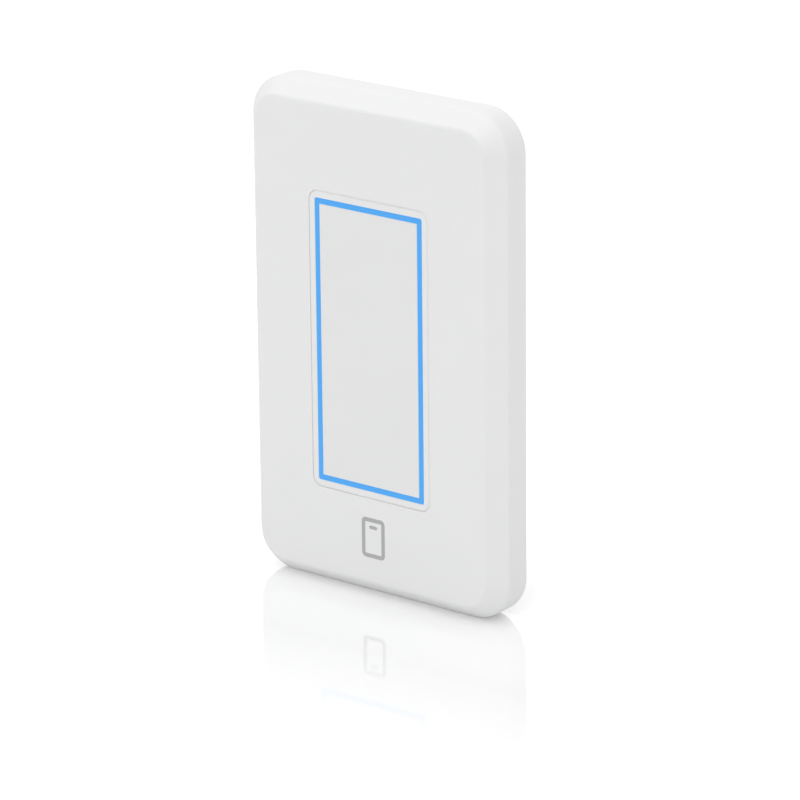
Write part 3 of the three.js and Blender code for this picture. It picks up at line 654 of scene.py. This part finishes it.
def clip_ribs(gap=0.0):
    """The places of the ribs that hold the cover on the sub-plate: (x, y, wide, high, out_x, out_y)."""
    across = CLIP_RIB["reach"] + gap
    along = CLIP_RIB["long"] + 2 * gap
    x = PLATE.width / 2 - PLATE_WALL - across / 2
    y = PLATE.height / 2 - PLATE_WALL - across / 2
    beside = [(sx * x, sy * CLIP_RIB["side_y"], across, along, sx, 0) for sx, sy in CORNERS]
    at_ends = [(sx * CLIP_RIB["end_x"], sy * y, along, across, 0, sy) for sx, sy in CORNERS]
    return beside + at_ends


def cover_rib(x, y, wide, high, out_x, out_y):
    """A clip rib with a sloped lead-in at the wall side; it runs a little into the plate's edge wall."""
    grow_x, grow_y = abs(out_x) * OVERLAP, abs(out_y) * OVERLAP
    centre = (x + out_x * OVERLAP / 2, y + out_y * OVERLAP / 2)
    outline = small_outline(wide + grow_x, high + grow_y, 0.15, *centre)
    lead_in = 0.35
    back = CLIP_RIB["back"]
    return loft(
        "rib",
        (outline, lead_in, back, 0),
        (outline, 0, back + 2 * lead_in, 0),
        (outline, 0, CLIP_RIB["front"], 0),
        closed=False,
    )


def cover_plate():
    """The clip-on plate: a thin shell with a flat bevel, soft edges and a short collar round its opening."""
    front = plate.front
    ceiling = front - PLATE_FRONT_WALL
    collar_end = face.front - COLLAR["long"]
    inner_bevel = 0.9  # the inner bevel's size, as a share of the outer one's
    shell = loft(
        "plate_shell",
        (PLATE, 0, plate.back, 0.3),
        (PLATE, 0, front - BEVEL["deep"], 1.1),
        (PLATE, BEVEL["inward"], front, 1.3),
        (OPENING, 0, front, 0.12),
        (OPENING, 0, collar_end, 0.1),
        (OPENING, -COLLAR["thick"], collar_end, 0.2),
        (OPENING, -COLLAR["thick"], ceiling, 0.3),
        (PLATE, PLATE_WALL + inner_bevel * BEVEL["inward"], ceiling, 0.8),
        (PLATE, PLATE_WALL, ceiling - inner_bevel * BEVEL["deep"], 0.8),
        (PLATE, PLATE_WALL, plate.back, 0.15),
    )
    pry_slot = small_outline(PRY_SLOT["long"], PRY_SLOT["high"], 0.2, 0, plate.bottom)
    join(shell, *(cover_rib(*rib) for rib in clip_ribs()))
    piece = cut(shell, hole(pry_slot, plate.back, plate.back + PRY_SLOT["deep"], 0.15))
    dress(piece, "cover", "white_plastic", "cover_plate")


def front_housing():
    shoulder = 6.8
    ledge = 5.9
    roof = plate.front - 1.5
    body = outline_of("front_housing", BODY_RADIUS)
    body_wall, tunnel_wall = 1.4, 1.02
    inside = body.grown(-body_wall)
    tunnel = FACE.grown(-tunnel_wall)
    slot = RING.grown(HAIRLINE)
    piece = loft(
        "reader_front",
        (FACE, 0, face.front, 0.12),
        (FACE, 0, face.front - GROOVE["deep"], 0.06),
        (FACE, -GROOVE["wide"], face.front - GROOVE["deep"], 0.05),
        (FACE, -GROOVE["wide"], shoulder, 0.1),
        (body, 0, shoulder, 0.5),
        (body, 0, face.back, 0.2),
        (inside, 0, face.back, 0.15),
        (inside, 0, ledge, 0.2),
        (tunnel, 0, ledge, 0.1),
        (tunnel, 0, roof, 0.1),
        (slot, 0, roof, 0.05),
        (slot, 0, face.front, 0.05),
    )
    dress(piece, "reader", "white_plastic", "front_housing")


def light_ring():
    inner = RING.grown(-RING_LINE)
    flange_front, flange_back = 8.8, 7.7
    flange_out, flange_in = 0.33, 1.05
    piece = loft(
        "lit_outline",
        (RING, 0, ring.front, 0.05),
        (RING, 0, flange_front, 0),
        (RING, -flange_out, flange_front, 0.1),
        (RING, -flange_out, flange_back, 0.1),
        (RING, LIT_SPREAD, flange_back, 0),
        (RING, LIT_SPREAD, ring.back, 0.1),
        (inner, -LIT_SPREAD, ring.back, 0.1),
        (inner, -LIT_SPREAD, flange_back, 0),
        (inner, flange_in, flange_back, 0.1),
        (inner, flange_in, flange_front, 0.1),
        (inner, 0, flange_front, 0),
        (inner, 0, ring.front, 0.05),
    )
    dress(piece, "reader", "lit_ring", "light_ring")


def read_window():
    outline = RING.grown(-RING_LINE - HAIRLINE)
    room_behind = 0.6  # how far the panel ends in front of the CAD node's back
    piece = slab("read_panel", outline, extent("read_window").back + room_behind, plate.front, 0.05)
    dress(piece, "reader", "window_plastic", "read_window")


PRINT_THICK = 0.015
PRINT_LIFT = 0.001  # keeps print and the face beside it apart


def printed_frame(outline, line, back, front):
    inside = outline.grown(-line)
    return loft(
        "printed_frame",
        (outline, 0, front, 0),
        (outline, 0, back, 0),
        (inside, 0, back, 0),
        (inside, 0, front, 0),
    )


def badge_print():
    """A plain upright badge outline, printed below the window."""
    x, y = 0.5, -43.2
    base = plate.front + PRINT_LIFT
    badge = small_outline(6.4, 9.3, 1.1, x, y)
    slot = slab("badge_slot", small_outline(2.2, 0.8, 0.39, x, y + 2.5), base, base + PRINT_THICK)
    piece = gather("badge_mark", [printed_frame(badge, 0.95, base, base + PRINT_THICK), slot])
    dress(piece, "cover", "white_plastic", material=PAINT["print"])


# ---------------- sub-plate, yoke and their screws

BOX_SCREW_Y = 83.3 / 2
PLATE_SCREW_Y = 96.8 / 2
# The screws that hold the two housings together.
CLAMP = {"x": 16, "y": 33.7, "radius": 1.0, "counterbore": 2.2, "seat": -6.05}
CLAMP_PLACES = [(sx * CLAMP["x"], sy * CLAMP["y"]) for sx, sy in CORNERS]
EAR = {"x": 11.4, "y": 47.9, "radius": 4.0, "hole": 1.9}  # the break-off ears of the yoke
EAR_PLACES = [(sx * EAR["x"], sy * EAR["y"]) for sx, sy in CORNERS]


def sub_plate():
    """The frame that the cover clips onto: a stiffening rib, rib notches, countersinks and screw openings."""
    e = extent("sub_plate")
    rim_back, deck, rib_top = 1.3, 3.1, e.front
    rim, rib_outside, rib_inside = 1.8, 3.2, 4.6
    box_screw_passage, plate_screw_passage = 4.0, 2.1
    outline = outline_of("sub_plate", 7.6)
    opening = outline_of("front_housing", BODY_RADIUS).grown(0.4)
    piece = loft(
        "sub_frame",
        (outline, 0, e.back, 0.2),
        (outline, 0, deck, 0.35),
        (outline, rib_outside, deck, 0.15),
        (outline, rib_outside, rib_top, 0.3),
        (outline, rib_inside, rib_top, 0.3),
        (outline, rib_inside, deck, 0.15),
        (opening, 0, deck, 0.3),
        (opening, 0, rim_back, 0.1),
        (outline, rim, rim_back, 0.2),
        (outline, rim, e.back, 0.15),
    )
    tools = []
    for side in SIDES:
        tools.append(round_hole(box_screw_passage, deck, e.back, 0, side * BOX_SCREW_Y, 0.25))
        tools.append(round_hole(plate_screw_passage, deck, e.back, 0, side * PLATE_SCREW_Y))
        tools.append(countersink(side * PLATE_SCREW_Y, deck))
    for x, y, wide, high, out_x, out_y in clip_ribs(OPENING_GAP):
        notch = small_outline(wide + abs(out_x) * 2, high + abs(out_y) * 2, 0.3, x + out_x, y + out_y)
        tools.append(hole(notch, deck, e.back - PAST, 0.15))
    dress(cut(piece, *tools), "reader", "inner_plastic", "sub_plate")


def countersink(y, face_z):
    """A cone that widens to the face at face_z."""
    end, past = face_z - 1.5, face_z + PAST
    return turned("countersink", [(0, end), (2.0, end), (3.7, face_z), (3.7, past), (0, past)], 0, y)


def yoke_corner(centre_x, centre_y, radius, start):
    """The points of a quarter circle, from the angle start on."""
    points = []
    for step in range(SMALL_STEPS + 1):
        angle = math.radians(start + 90 * step / SMALL_STEPS)
        points.append((centre_x + radius * math.cos(angle), centre_y + radius * math.sin(angle)))
    return points


def yoke_outline():
    half, neck, shoulder, taper, end, corner = 20.5, 11.0, 38.4, 3.0, 52.5, 3.0
    right = yoke_corner(neck - corner, end - corner, corner, 0)
    left = yoke_corner(corner - neck, end - corner, corner, 90)
    waist = shoulder + taper
    upper = [(half, shoulder), (neck, waist), *right, *left, (-neck, waist), (-half, shoulder)]
    return upper + [(-x, -y) for x, y in upper]


def prism(name, points, back, front):
    vertices = [(x, y, z) for z in (back, front) for x, y in points]
    return new_object(name, vertices, bridge(2, len(points), False, True))


def mounting_yoke():
    """The pressed steel strap: break-off ears, screw slots, tapped holes and the window for the reader."""
    e = extent("mounting_yoke")
    piece = prism("steel_yoke", yoke_outline(), e.back, e.front)
    join(piece, *(rod("ear", EAR["radius"], e.back, e.front, x, y) for x, y in EAR_PLACES))
    soften(piece, 0.15)
    edge = 0.1
    plate_screw_hole, clamp_hole = 1.95, 1.3
    tools = [hole(Outline(28.8, 61.2, 2.0), e.front, e.back, edge, through=True)]
    for side in SIDES:
        slot = Outline(7.0, 4.3, 2.14, 0, side * BOX_SCREW_Y)
        screw_y = side * PLATE_SCREW_Y
        tools.append(hole(slot, e.front, e.back, edge, through=True))
        tools.append(round_hole(plate_screw_hole, e.front, e.back, 0, screw_y, edge, through=True))
    for clamp_place, ear_place in zip(CLAMP_PLACES, EAR_PLACES):
        tools.append(round_hole(clamp_hole, e.front, e.back, *clamp_place, edge, through=True))
        tools.append(round_hole(EAR["hole"], e.front, e.back, *ear_place, edge, through=True))
    cut(piece, *tools)
    dress(piece, "reader", "yoke_steel", "mounting_yoke")


def dome(radius, side, top):
    """The profile of a screw's rounded head, from its side to its top."""
    rise = top - side
    angles = [math.radians(a) for a in (0, 18, 36, 54, 72)]
    return [(radius * math.cos(a), side + rise * math.sin(a)) for a in angles]


def cross_recess(size, top, depth):
    """The two tapered bars that cut a cross into a screw's head."""
    line = size * 0.22
    bars = []
    for wide, high in ((size, line), (line, size)):
        bar = small_outline(wide, high, line * 0.2)
        rings = [(bar, 0, top + PAST, 0), (bar, 0, top, 0), (bar, line * 0.25, top - depth, 0)]
        bars.append(loft("bar", *rings, closed=False))
    return bars


THREAD = {"depth": 0.52, "crest": 0.14, "root": 0.26}  # in pitches
SHANK = 1.75  # radius of the box and plate screws
NECK = 0.15  # plain length between the thread and the head
SCREW_PITCH = 0.8
SCREW_STEPS = 28  # segments round a screw or its head


def screw_shape(name, shank, length, pitch, head, steps):
    """A screw along z with its tip at -length; head is the profile from the shank's end to the head's top."""
    core = shank - THREAD["depth"] * pitch
    crest = THREAD["crest"] * pitch
    flank = (1 - THREAD["crest"] - THREAD["root"]) * pitch / 2
    start = -length + core * 0.4
    neck = head[0][1] - NECK
    turns = int((neck - start) / pitch) - 1
    tip = [(0, -length), (core * 0.6, -length), (core, start)]
    root = start + 0.01  # just past the tip, so that their points stay apart
    thread = [
        (core, root),
        (shank, root + flank),
        (shank, root + flank + crest),
        (core, root + 2 * flank + crest),
    ]
    return threaded(name, tip, thread, pitch, turns, [(core, neck), *head], steps)


def move_to(piece, x, y, z, turned_over=False):
    """Moves a piece that was made about the origin. Turned over, its front faces the wall."""
    turn = Matrix.Rotation(math.pi if turned_over else 0, 4, "Z")
    piece.data.transform(Matrix.Translation(place(x, y, z)) @ turn)


def cross_screw(node, shank, length, pitch, head, recess, steps):
    """A screw about the origin, with a cross recess of (size, depth) in its head."""
    size, depth = recess
    piece = screw_shape(f"zinc_{node}", shank, length, pitch, head, steps)
    cut(piece, *cross_recess(size, head[-1][1], depth))
    dress(piece, "reader", "screw_zinc", node)
    return piece


def box_screw(node, y):
    """A long pan-head screw that goes into the wall box."""
    radius, height = 3.4, 2.1
    head = [(SHANK, 0), (radius - 0.2, 0), *dome(radius, 0.45, height), (0, height)]
    piece = cross_screw(node, SHANK, 18.2, SCREW_PITCH, head, (3.9, 1.4), SCREW_STEPS)
    move_to(piece, 0, y, extent(node).front - height)


def plate_screw(node, y):
    """A countersunk screw with a low rounded head, which holds the sub-plate."""
    radius, height, sink = 3.45, 0.5, 1.45
    head = [(SHANK, -sink), (radius, -0.1), *dome(radius, 0.02, height), (0, height)]
    piece = cross_screw(node, SHANK, 9.5, SCREW_PITCH, head, (3.7, 1.3), SCREW_STEPS)
    move_to(piece, 0, y, extent(node).front - height)


def housing_screw(node, x, y):
    """One of the four screws that clamp the two housings; its head is towards the wall box."""
    radius, height = 1.9, 1.5
    shank = CLAMP["radius"]
    head = [(shank, 0), (radius - 0.1, 0), *dome(radius, 0.6, height), (0, height)]
    piece = cross_screw(node, shank, 11, 0.7, head, (2.1, 1.0), 20)
    move_to(piece, x, y, CLAMP["seat"], turned_over=True)


def screw_retainer(node):
    """The pressed fibre washer behind the yoke that keeps a box screw in its slot."""
    e = extent(node)
    x, y = middle(node)
    radius = (e.right - e.left) / 2
    profile = [(0, e.back), (radius - 0.1, e.back), (radius, e.back + 0.1), (radius, e.front - 0.1)]
    profile += [(radius - 0.1, e.front), (0, e.front)]
    bore = round_hole(1.95, e.front, e.back - PAST, x, y, 0.08)
    piece = cut(turned(f"fibre_{node}", profile, x, y), bore)
    dress(piece, "reader", "fibre", node)


# ---------------- the rear housing

FLOOR_Z = -10.2  # inner face of the housing's back wall
COLUMN = {"radius": 3.0, "bore": 1.15, "bore_end": -7, "well_end": -6}  # round each housing screw
POST = {"x": 15.4, "y": 17.5, "radius": 1.6, "front": -4.25}  # behind the main board
TERMINAL_Y = -26.55


def rear_housing():
    """The rear shell: a deep tray with screw columns, board posts and the openings of its back wall."""
    e = extent("rear_housing")
    outside = outline_of("rear_housing", HOUSING_RADIUS)
    inside = outside.grown(-1.5)
    fillets = (0.6, 0.1, 0.1, 0.9)
    tray = open_box("rear_shell", outside, inside, e.back, FLOOR_Z, e.front, fillets)
    in_wall = (e.back + FLOOR_Z) / 2
    columns = [rod("column", COLUMN["radius"], in_wall, e.front, x, y) for x, y in CLAMP_PLACES]
    post_places = [(sx * POST["x"], sy * POST["y"]) for sx, sy in CORNERS]
    posts = [rod("post", POST["radius"], in_wall, POST["front"], x, y) for x, y in post_places]
    join(tray, *columns, *posts)
    bores = []
    for x, y in CLAMP_PLACES:
        bores.append(round_hole(COLUMN["bore"], e.front, COLUMN["bore_end"], x, y, 0.1))
        bores.append(round_hole(CLAMP["counterbore"], e.back, COLUMN["well_end"], x, y, 0.25))
    cut(tray, *bores)
    cut(tray, *back_openings(e.back))
    dress(tray, "reader", "black_plastic", "rear_housing")


def back_openings(back):
    """What is cut into the back wall, each with a small flare at the outside."""
    end = FLOOR_Z + PAST
    label = outline_of("rating_label", 1.0).grown(0.5)
    buzzer_x, buzzer_y = middle("buzzer")
    vents = [small_outline(1.1, 6, 0.54, buzzer_x + dx, buzzer_y) for dx in (-2.4, 0, 2.4)]
    terminal_opening = Outline(24.8, 9.6, 1.0, 0, TERMINAL_Y)
    dip_opening = small_outline(6.8, 5.0, 0.8, *middle("dip_switch"))
    reset_dish, reset_bore, lens_bore = 3.3, 2.1, 2.2
    dish_depth, label_depth = 0.7, 0.3
    return [
        *(hole(vent, back, end, 0.15) for vent in vents),
        hole(terminal_opening, back, end, 0.3),
        hole(dip_opening, back, end, 0.3),
        round_hole(reset_dish, back, back + dish_depth, *middle("reset_button"), 0.2),
        round_hole(reset_bore, back, end, *middle("reset_button")),
        round_hole(lens_bore, back, end, *middle("tamper_lens"), 0.15),
        hole(label, back, back + label_depth, 0.08),
    ]


def rating_label():
    """A blank label in its recess, with a plain printed border and two empty fields."""
    e = extent("rating_label")
    outline = outline_of("rating_label", 0.8)
    piece = slab("blank_label", outline, e.back + PRINT_THICK, e.front, 0.03)
    dress(piece, "reader", "label_film", "rating_label")
    x, y = middle("rating_label")
    back, front = e.back, e.back + PRINT_THICK - PRINT_LIFT
    fields = [small_outline(22.6, 6.2, 0.3, x, y + 3.1), small_outline(22.6, 4.6, 0.3, x, y - 3.6)]
    frames = [printed_frame(outline.grown(-0.8), 0.2, back, front)]
    frames += [printed_frame(field, 0.12, back, front) for field in fields]
    dress(gather("label_lines", frames), "reader", "label_film", material=PAINT["print"])


def reset_button():
    e = extent("reset_button")
    x, y = middle("reset_button")
    cap = [(0, 0.06), (0.9, 0.03), (1.4, 0), (1.62, 0.05), (1.76, 0.16), (1.8, 0.3)]
    flange = [(1.8, 0), (2.62, 0), (2.7, 0.08), (2.7, 0.92), (2.62, 1.0), (1.7, 1.0)]
    foot = [(1.7, -0.1), (1.6, 0), (0, 0)]
    profile = lifted(cap, e.back) + lifted(flange, FLOOR_Z + 0.3) + lifted(foot, e.front)
    piece = turned("reset_cap", profile, x, y)
    dress(piece, "reset_button", "button_plastic", "reset_button")


def tamper_lens():
    e = extent("tamper_lens")
    x, y = middle("tamper_lens")
    outside = e.back + 0.45
    steps = [math.radians(a) for a in (80, 60, 40, 20, 0)]
    bulge = [(1.95 * math.cos(a), outside - (outside - e.back) * math.sin(a)) for a in steps]
    flange = [(1.95, 0), (2.8, 0), (2.9, 0.1), (2.9, 0.85), (2.8, 0.95), (1.6, 0.95)]
    profile = [(0, e.back), *bulge, *lifted(flange, FLOOR_Z + 0.05), (1.6, e.front), (0, e.front)]
    dress(turned("dark_window", profile, x, y), "reader", "dark_lens", "tamper_lens")


def dip_switch():
    e = extent("dip_switch")
    x, y = middle("dip_switch")
    outline = small_outline(e.right - e.left, e.top - e.bottom, 0.25, x, y)
    piece = slab("slide_switch", outline, e.back, e.front, 0.1)
    slots = [small_outline(1.4, 3.2, 0.15, x + dx, y) for dx in (-1.27, 1.27)]
    cut(piece, *(hole(slot, e.back, e.back + 1.7, 0.08) for slot in slots))
    dress(piece, "reader", "switch_plastic", "dip_switch")


def dip_slider(number):
    """A slider: a broad foot in the slot and a narrow grip that stands proud, with two grooves across it."""
    node = f"dip_slider_{number}"
    e = extent(node)
    x, y = middle(node)
    foot_back = e.back + 0.9
    foot = slab(f"slider_{number}", outline_of(node, 0.12), foot_back, e.front, 0.05)
    grip = slab("grip", small_outline(0.9, 0.9, 0.12, x, y), e.back, foot_back + OVERLAP, 0.08)
    foot_and_grip = join(foot, grip)
    grooves = [hole(small_outline(2, 0.1, 0.02, x, y + dy), e.back, e.back + 0.12) for dy in (-0.17, 0.17)]
    cut(foot_and_grip, *grooves)
    dress(foot_and_grip, node, "slider_plastic", node)


# ---------------- the terminal block

POLES, POLE_PITCH = 6, 3.5
POLE_X = [(i - (POLES - 1) / 2) * POLE_PITCH for i in range(POLES)]
WIRE_Y = TERMINAL_Y - 2.35
CLAMP_SCREW_Y = TERMINAL_Y + 2.25


def terminal_header():
    """The fixed half: an open shroud with six pins."""
    e = extent("terminal_header")
    outside = outline_of("terminal_header", 0.35)
    inside = outside.grown(-0.9)
    floor = e.front - 1.6
    fillets = (0.15, 0.15, 0.15, 0.1)
    shroud = open_box("header_shroud", outside, inside, e.front, floor, e.back, fillets)
    keys = [small_outline(1.2, 1.0, 0.1, x, TERMINAL_Y + 3.95) for x in (-7, 7)]
    cut(shroud, *(hole(key, e.back, e.back + 3.0, 0.05) for key in keys))
    dress(shroud, "reader", "terminal_plastic", "terminal_header")
    pins = [header_pin(x, floor) for x in POLE_X]
    dress(gather("header_pins", pins), "reader", "metal_can")


def header_pin(x, floor):
    outline = small_outline(1.0, 1.0, 0.08, x, TERMINAL_Y)
    end = -12.0
    rings = [(outline, 0.25, end, 0), (outline, 0, end + 0.5, 0), (outline, 0, floor + 0.01, 0)]
    return loft("pin", *rings, closed=False)


def terminal_plug():
    """The pluggable half: wire holes with clamps, screw wells, pin sockets and grooves between the poles."""
    body_front, nose_back = -13.5, -13.7
    e = extent("terminal_plug")
    nose = slab("plug_nose", small_outline(20.5, 5.5, 0.3, 0, TERMINAL_Y), nose_back, e.front, 0.2)
    piece = slab("plug_body", small_outline(21.8, 9.1, 0.35, 0, TERMINAL_Y), e.back, body_front, 0.25)
    join(piece, nose)
    socket_end = -12.5
    wire_end, well_end, screw_start, screw_end = (e.back + depth for depth in (4.5, 2.3, 2.0, 4.9))
    well_radius, screw_radius = 1.5, 1.05
    tools = []
    for x in POLE_X:
        pin_socket = small_outline(1.5, 1.5, 0.1, x, TERMINAL_Y)
        wire_hole = small_outline(2.5, 2.7, 0.3, x, WIRE_Y)
        tools.append(hole(pin_socket, e.front, socket_end, 0.15))
        tools.append(hole(wire_hole, e.back, wire_end, 0.25))
        tools.append(round_hole(well_radius, e.back, well_end, x, CLAMP_SCREW_Y, 0.2))
        tools.append(round_hole(screw_radius, screw_start, screw_end, x, CLAMP_SCREW_Y))
    for x in POLE_X[1:]:
        for side in SIDES:
            groove = small_outline(0.5, 0.8, 0.1, x - POLE_PITCH / 2, TERMINAL_Y + side * 4.55)
            tools.append(hole(groove, e.back, body_front - PAST))
    cut(piece, *tools)
    dress(piece, "terminal_plug", "terminal_plastic", "terminal_plug")
    cages = [wire_cage(x, e.back) for x in POLE_X]
    dress(gather("wire_clamps", cages), "terminal_plug", "screw_zinc")


def wire_cage(x, back):
    """The square clamp that grips a wire, at the bottom of its hole."""
    cage = small_outline(2.2, 2.4, 0.15, x, WIRE_Y)
    gap = small_outline(1.5, 1.3, 0.1, x, WIRE_Y)
    near, far = back + 2.0, back + 4.4
    return loft(
        "cage",
        (cage, 0, near, 0.08),
        (cage, 0, far, 0.05),
        (gap, 0, far, 0.05),
        (gap, 0, near, 0.08),
    )


def terminal_screw(number):
    node = f"terminal_screw_{number}"
    e = extent(node)
    x, y = middle(node)
    head = [(0, 0), (1.15, 0), (1.35, 0.2)]
    seat = [(1.35, -0.1), (1.25, 0), (0.9, 0)]
    tip = [(0.9, -0.2), (0.7, 0), (0, 0)]
    profile = lifted(head, e.back) + lifted(seat, e.front - 2.2) + lifted(tip, e.front)
    piece = turned(f"zinc_{node}", profile, x, y, SCREW_STEPS)
    cut(piece, hole(small_outline(3.0, 0.45, 0.03, x, y), e.back, e.back + 0.7))
    dress(piece, "terminal_plug", "screw_zinc", node)


# ---------------- boards and what stands on them

# What keeps its CAD shape: the material slot, and how much its edges are softened, in millimetres.
INNER_NODES = {
    "light_foam": (0.15, ["light_baffle"]),
    "board_laminate": (0.05, ["front_board", "main_board"]),
    "coil_copper": (0.02, ["antenna_coil"]),
    "ferrite": (0.08, ["ferrite_sheet", "power_inductor"]),
    "led_resin": (0.06, [f"status_led_{i + 1}" for i in range(10)]),
    "black_plastic": (0.08, ["board_socket", "board_header", "buzzer"]),
    "chip_resin": (0.05, ["processor", "reader_chip", "tamper_sensor"]),
    "metal_can": (0.1, ["crystal", "capacitor_1", "capacitor_2", "reset_switch"]),
}


def finish_inner_nodes():
    for slot, (edge, names) in INNER_NODES.items():
        for name in names:
            finish_node(name, PAINT[slot], edge)


# ---------------- stage

FLOOR_SIZE = 6000.0
FLOOR_WHITE = 0.82
# Painted light on the floor, seen only by the camera: weaker in front of the plate and stronger behind it,
# where it paints over the plate's shadow on the floor.
FLOOR_PAINTED_LIGHT = {"front": 0.08, "behind": 0.34}  # keeps the floor as white as an overexposed sweep
FLOOR_BOUNCE = 0.16  # light that the lit sweep throws on what stands on it
FLOOR_GLOSS = 0.47  # share of the floor's look that is reflection, right in front of the plate
GLOSS_REACH = 0.073  # how far in front of the wall plane the reflection fades out, in metres


def make_floor():
    low, far = plate.bottom, FLOOR_SIZE
    corners = [(-far, low, -far), (far, low, -far), (far, low, far), (-far, low, far)]
    piece = new_object("floor", corners, [(0, 1, 2, 3)])
    material, matt = shader("white_floor", (FLOOR_WHITE,) * 3, 0.5, Specular_IOR_Level=0.0)
    matt.inputs["Emission Color"].default_value = WHITE
    where = add_node(material, "ShaderNodeTexCoord")
    split = add_node(material, "ShaderNodeSeparateXYZ")
    link(material, where.outputs["Object"], split.inputs["Vector"])
    depth = split.outputs["Y"]
    # Painted light: the camera sees a glow that ramps up from in front of the wall plane to behind it, which
    # paints out the plate's shadow there; other rays get the even bounce.
    glow = map_range(material, depth, -GLOSS_REACH / 2, 0.0, FLOOR_PAINTED_LIGHT["front"], FLOOR_PAINTED_LIGHT["behind"])
    rays = add_node(material, "ShaderNodeLightPath")
    seen = add_node(material, "ShaderNodeMix", data_type="FLOAT", A=FLOOR_BOUNCE)
    link(material, rays.outputs["Is Camera Ray"], seen.inputs["Factor"])
    link(material, glow, seen.inputs["B"])
    link(material, seen.outputs["Result"], matt.inputs["Emission Strength"])
    gloss = add_node(material, "ShaderNodeBsdfGlossy", Roughness=0.03, Color=WHITE)
    fade = map_range(material, depth, -GLOSS_REACH, -plate.front * MM, 0.0, FLOOR_GLOSS)
    ahead = calculate(material, "LESS_THAN", depth, 0.0)
    share = calculate(material, "MULTIPLY", fade, ahead)
    mix_shaders(material, share, matt.outputs["BSDF"], gloss.outputs["BSDF"], "Material Output")
    piece.data.materials.append(material)


# The sky's light at the horizon, and how much more there is overhead, at the right and at the back.
SKY = {"level": -0.12, "rise": 1.90, "right": 0.07, "back": -0.37}
DIMMEST_SKY = 0.2
BACKDROP = 1.05  # strength of the plain white that the camera sees
WHITE_BAND = (0.45, 0.65)  # heights of a ray's direction between which that white fades out


def make_world():
    """A white studio: brighter overhead, in front and at the right.

    The camera sees plain white behind everything, and so do reflections that look near the horizon.
    """
    world = bpy.data.worlds.new("white_studio")
    bpy.context.scene.world = world
    world.use_nodes = True
    sky = world.node_tree.nodes["Background"]
    sky.inputs["Color"].default_value = WHITE
    where = add_node(world, "ShaderNodeTexCoord")
    split = add_node(world, "ShaderNodeSeparateXYZ")
    link(world, where.outputs["Generated"], split.inputs["Vector"])
    level = SKY["level"]
    for axis, gain in (("Z", SKY["rise"]), ("X", SKY["right"]), ("Y", SKY["back"])):
        level = calculate(world, "MULTIPLY_ADD", split.outputs[axis], gain, level)
    link(world, calculate(world, "MAXIMUM", level, DIMMEST_SKY), sky.inputs["Strength"])
    plain = add_node(world, "ShaderNodeBackground", Color=WHITE, Strength=BACKDROP)
    rays = add_node(world, "ShaderNodeLightPath")
    full, none = WHITE_BAND
    band = map_range(world, split.outputs["Z"], none, full)
    glossy = calculate(world, "MULTIPLY", band, rays.outputs["Is Glossy Ray"])
    seen = calculate(world, "MAXIMUM", rays.outputs["Is Camera Ray"], glossy)
    mix_shaders(world, seen, sky.outputs["Background"], plain.outputs["Background"], "World Output")


def camera_frame():
    """The camera's place and its right, up and back directions, in the row frame."""
    azimuth, elevation, roll = (math.radians(CAMERA[key]) for key in ("azimuth", "elevation", "roll"))
    level = math.cos(elevation)
    away = Vector((math.sin(azimuth) * level, -math.cos(azimuth) * level, math.sin(elevation)))
    centre = place(0, 0, plate.front)
    up = Vector((0, 0, 1))
    right = up.cross(away).normalized()
    aim = centre + (right * CAMERA_AIM["right"] + away.cross(right) * CAMERA_AIM["up"]) * MM
    eye = centre + away * CAMERA["distance"] * MM
    back = (eye - aim).normalized()
    right = up.cross(back).normalized()
    turn = Matrix.Rotation(roll, 3, back)
    return eye, turn @ right, turn @ back.cross(right), back


def make_camera():
    eye, right, up, back = camera_frame()
    data = bpy.data.cameras.new("camera")
    data.lens = CAMERA_LENS
    data.sensor_width = SENSOR_WIDTH
    data.clip_end = CAMERA_SEES
    camera = in_scene("camera", data)
    axes = Matrix((right, up, back)).transposed().to_4x4()
    camera.matrix_world = Matrix.Translation(eye) @ axes
    bpy.context.scene.camera = camera


# ---------------- everything

bpy.context.scene.view_settings.view_transform = "Standard"
bpy.context.scene.view_settings.look = "None"

make_camera()
make_world()
make_floor()

cover_plate()
front_housing()
light_ring()
read_window()
badge_print()

sub_plate()
mounting_yoke()
for end, side in (("top", 1), ("bottom", -1)):
    box_screw(f"box_screw_{end}", side * BOX_SCREW_Y)
    plate_screw(f"plate_screw_{end}", side * PLATE_SCREW_Y)
    screw_retainer(f"screw_retainer_{end}")
for number, (x, y) in enumerate(CLAMP_PLACES, 1):
    housing_screw(f"housing_screw_{number}", x, y)

rear_housing()
rating_label()
reset_button()
tamper_lens()
dip_switch()
for number in (1, 2):
    dip_slider(number)

terminal_header()
terminal_plug()
for number in range(1, POLES + 1):
    terminal_screw(number)

finish_inner_nodes()
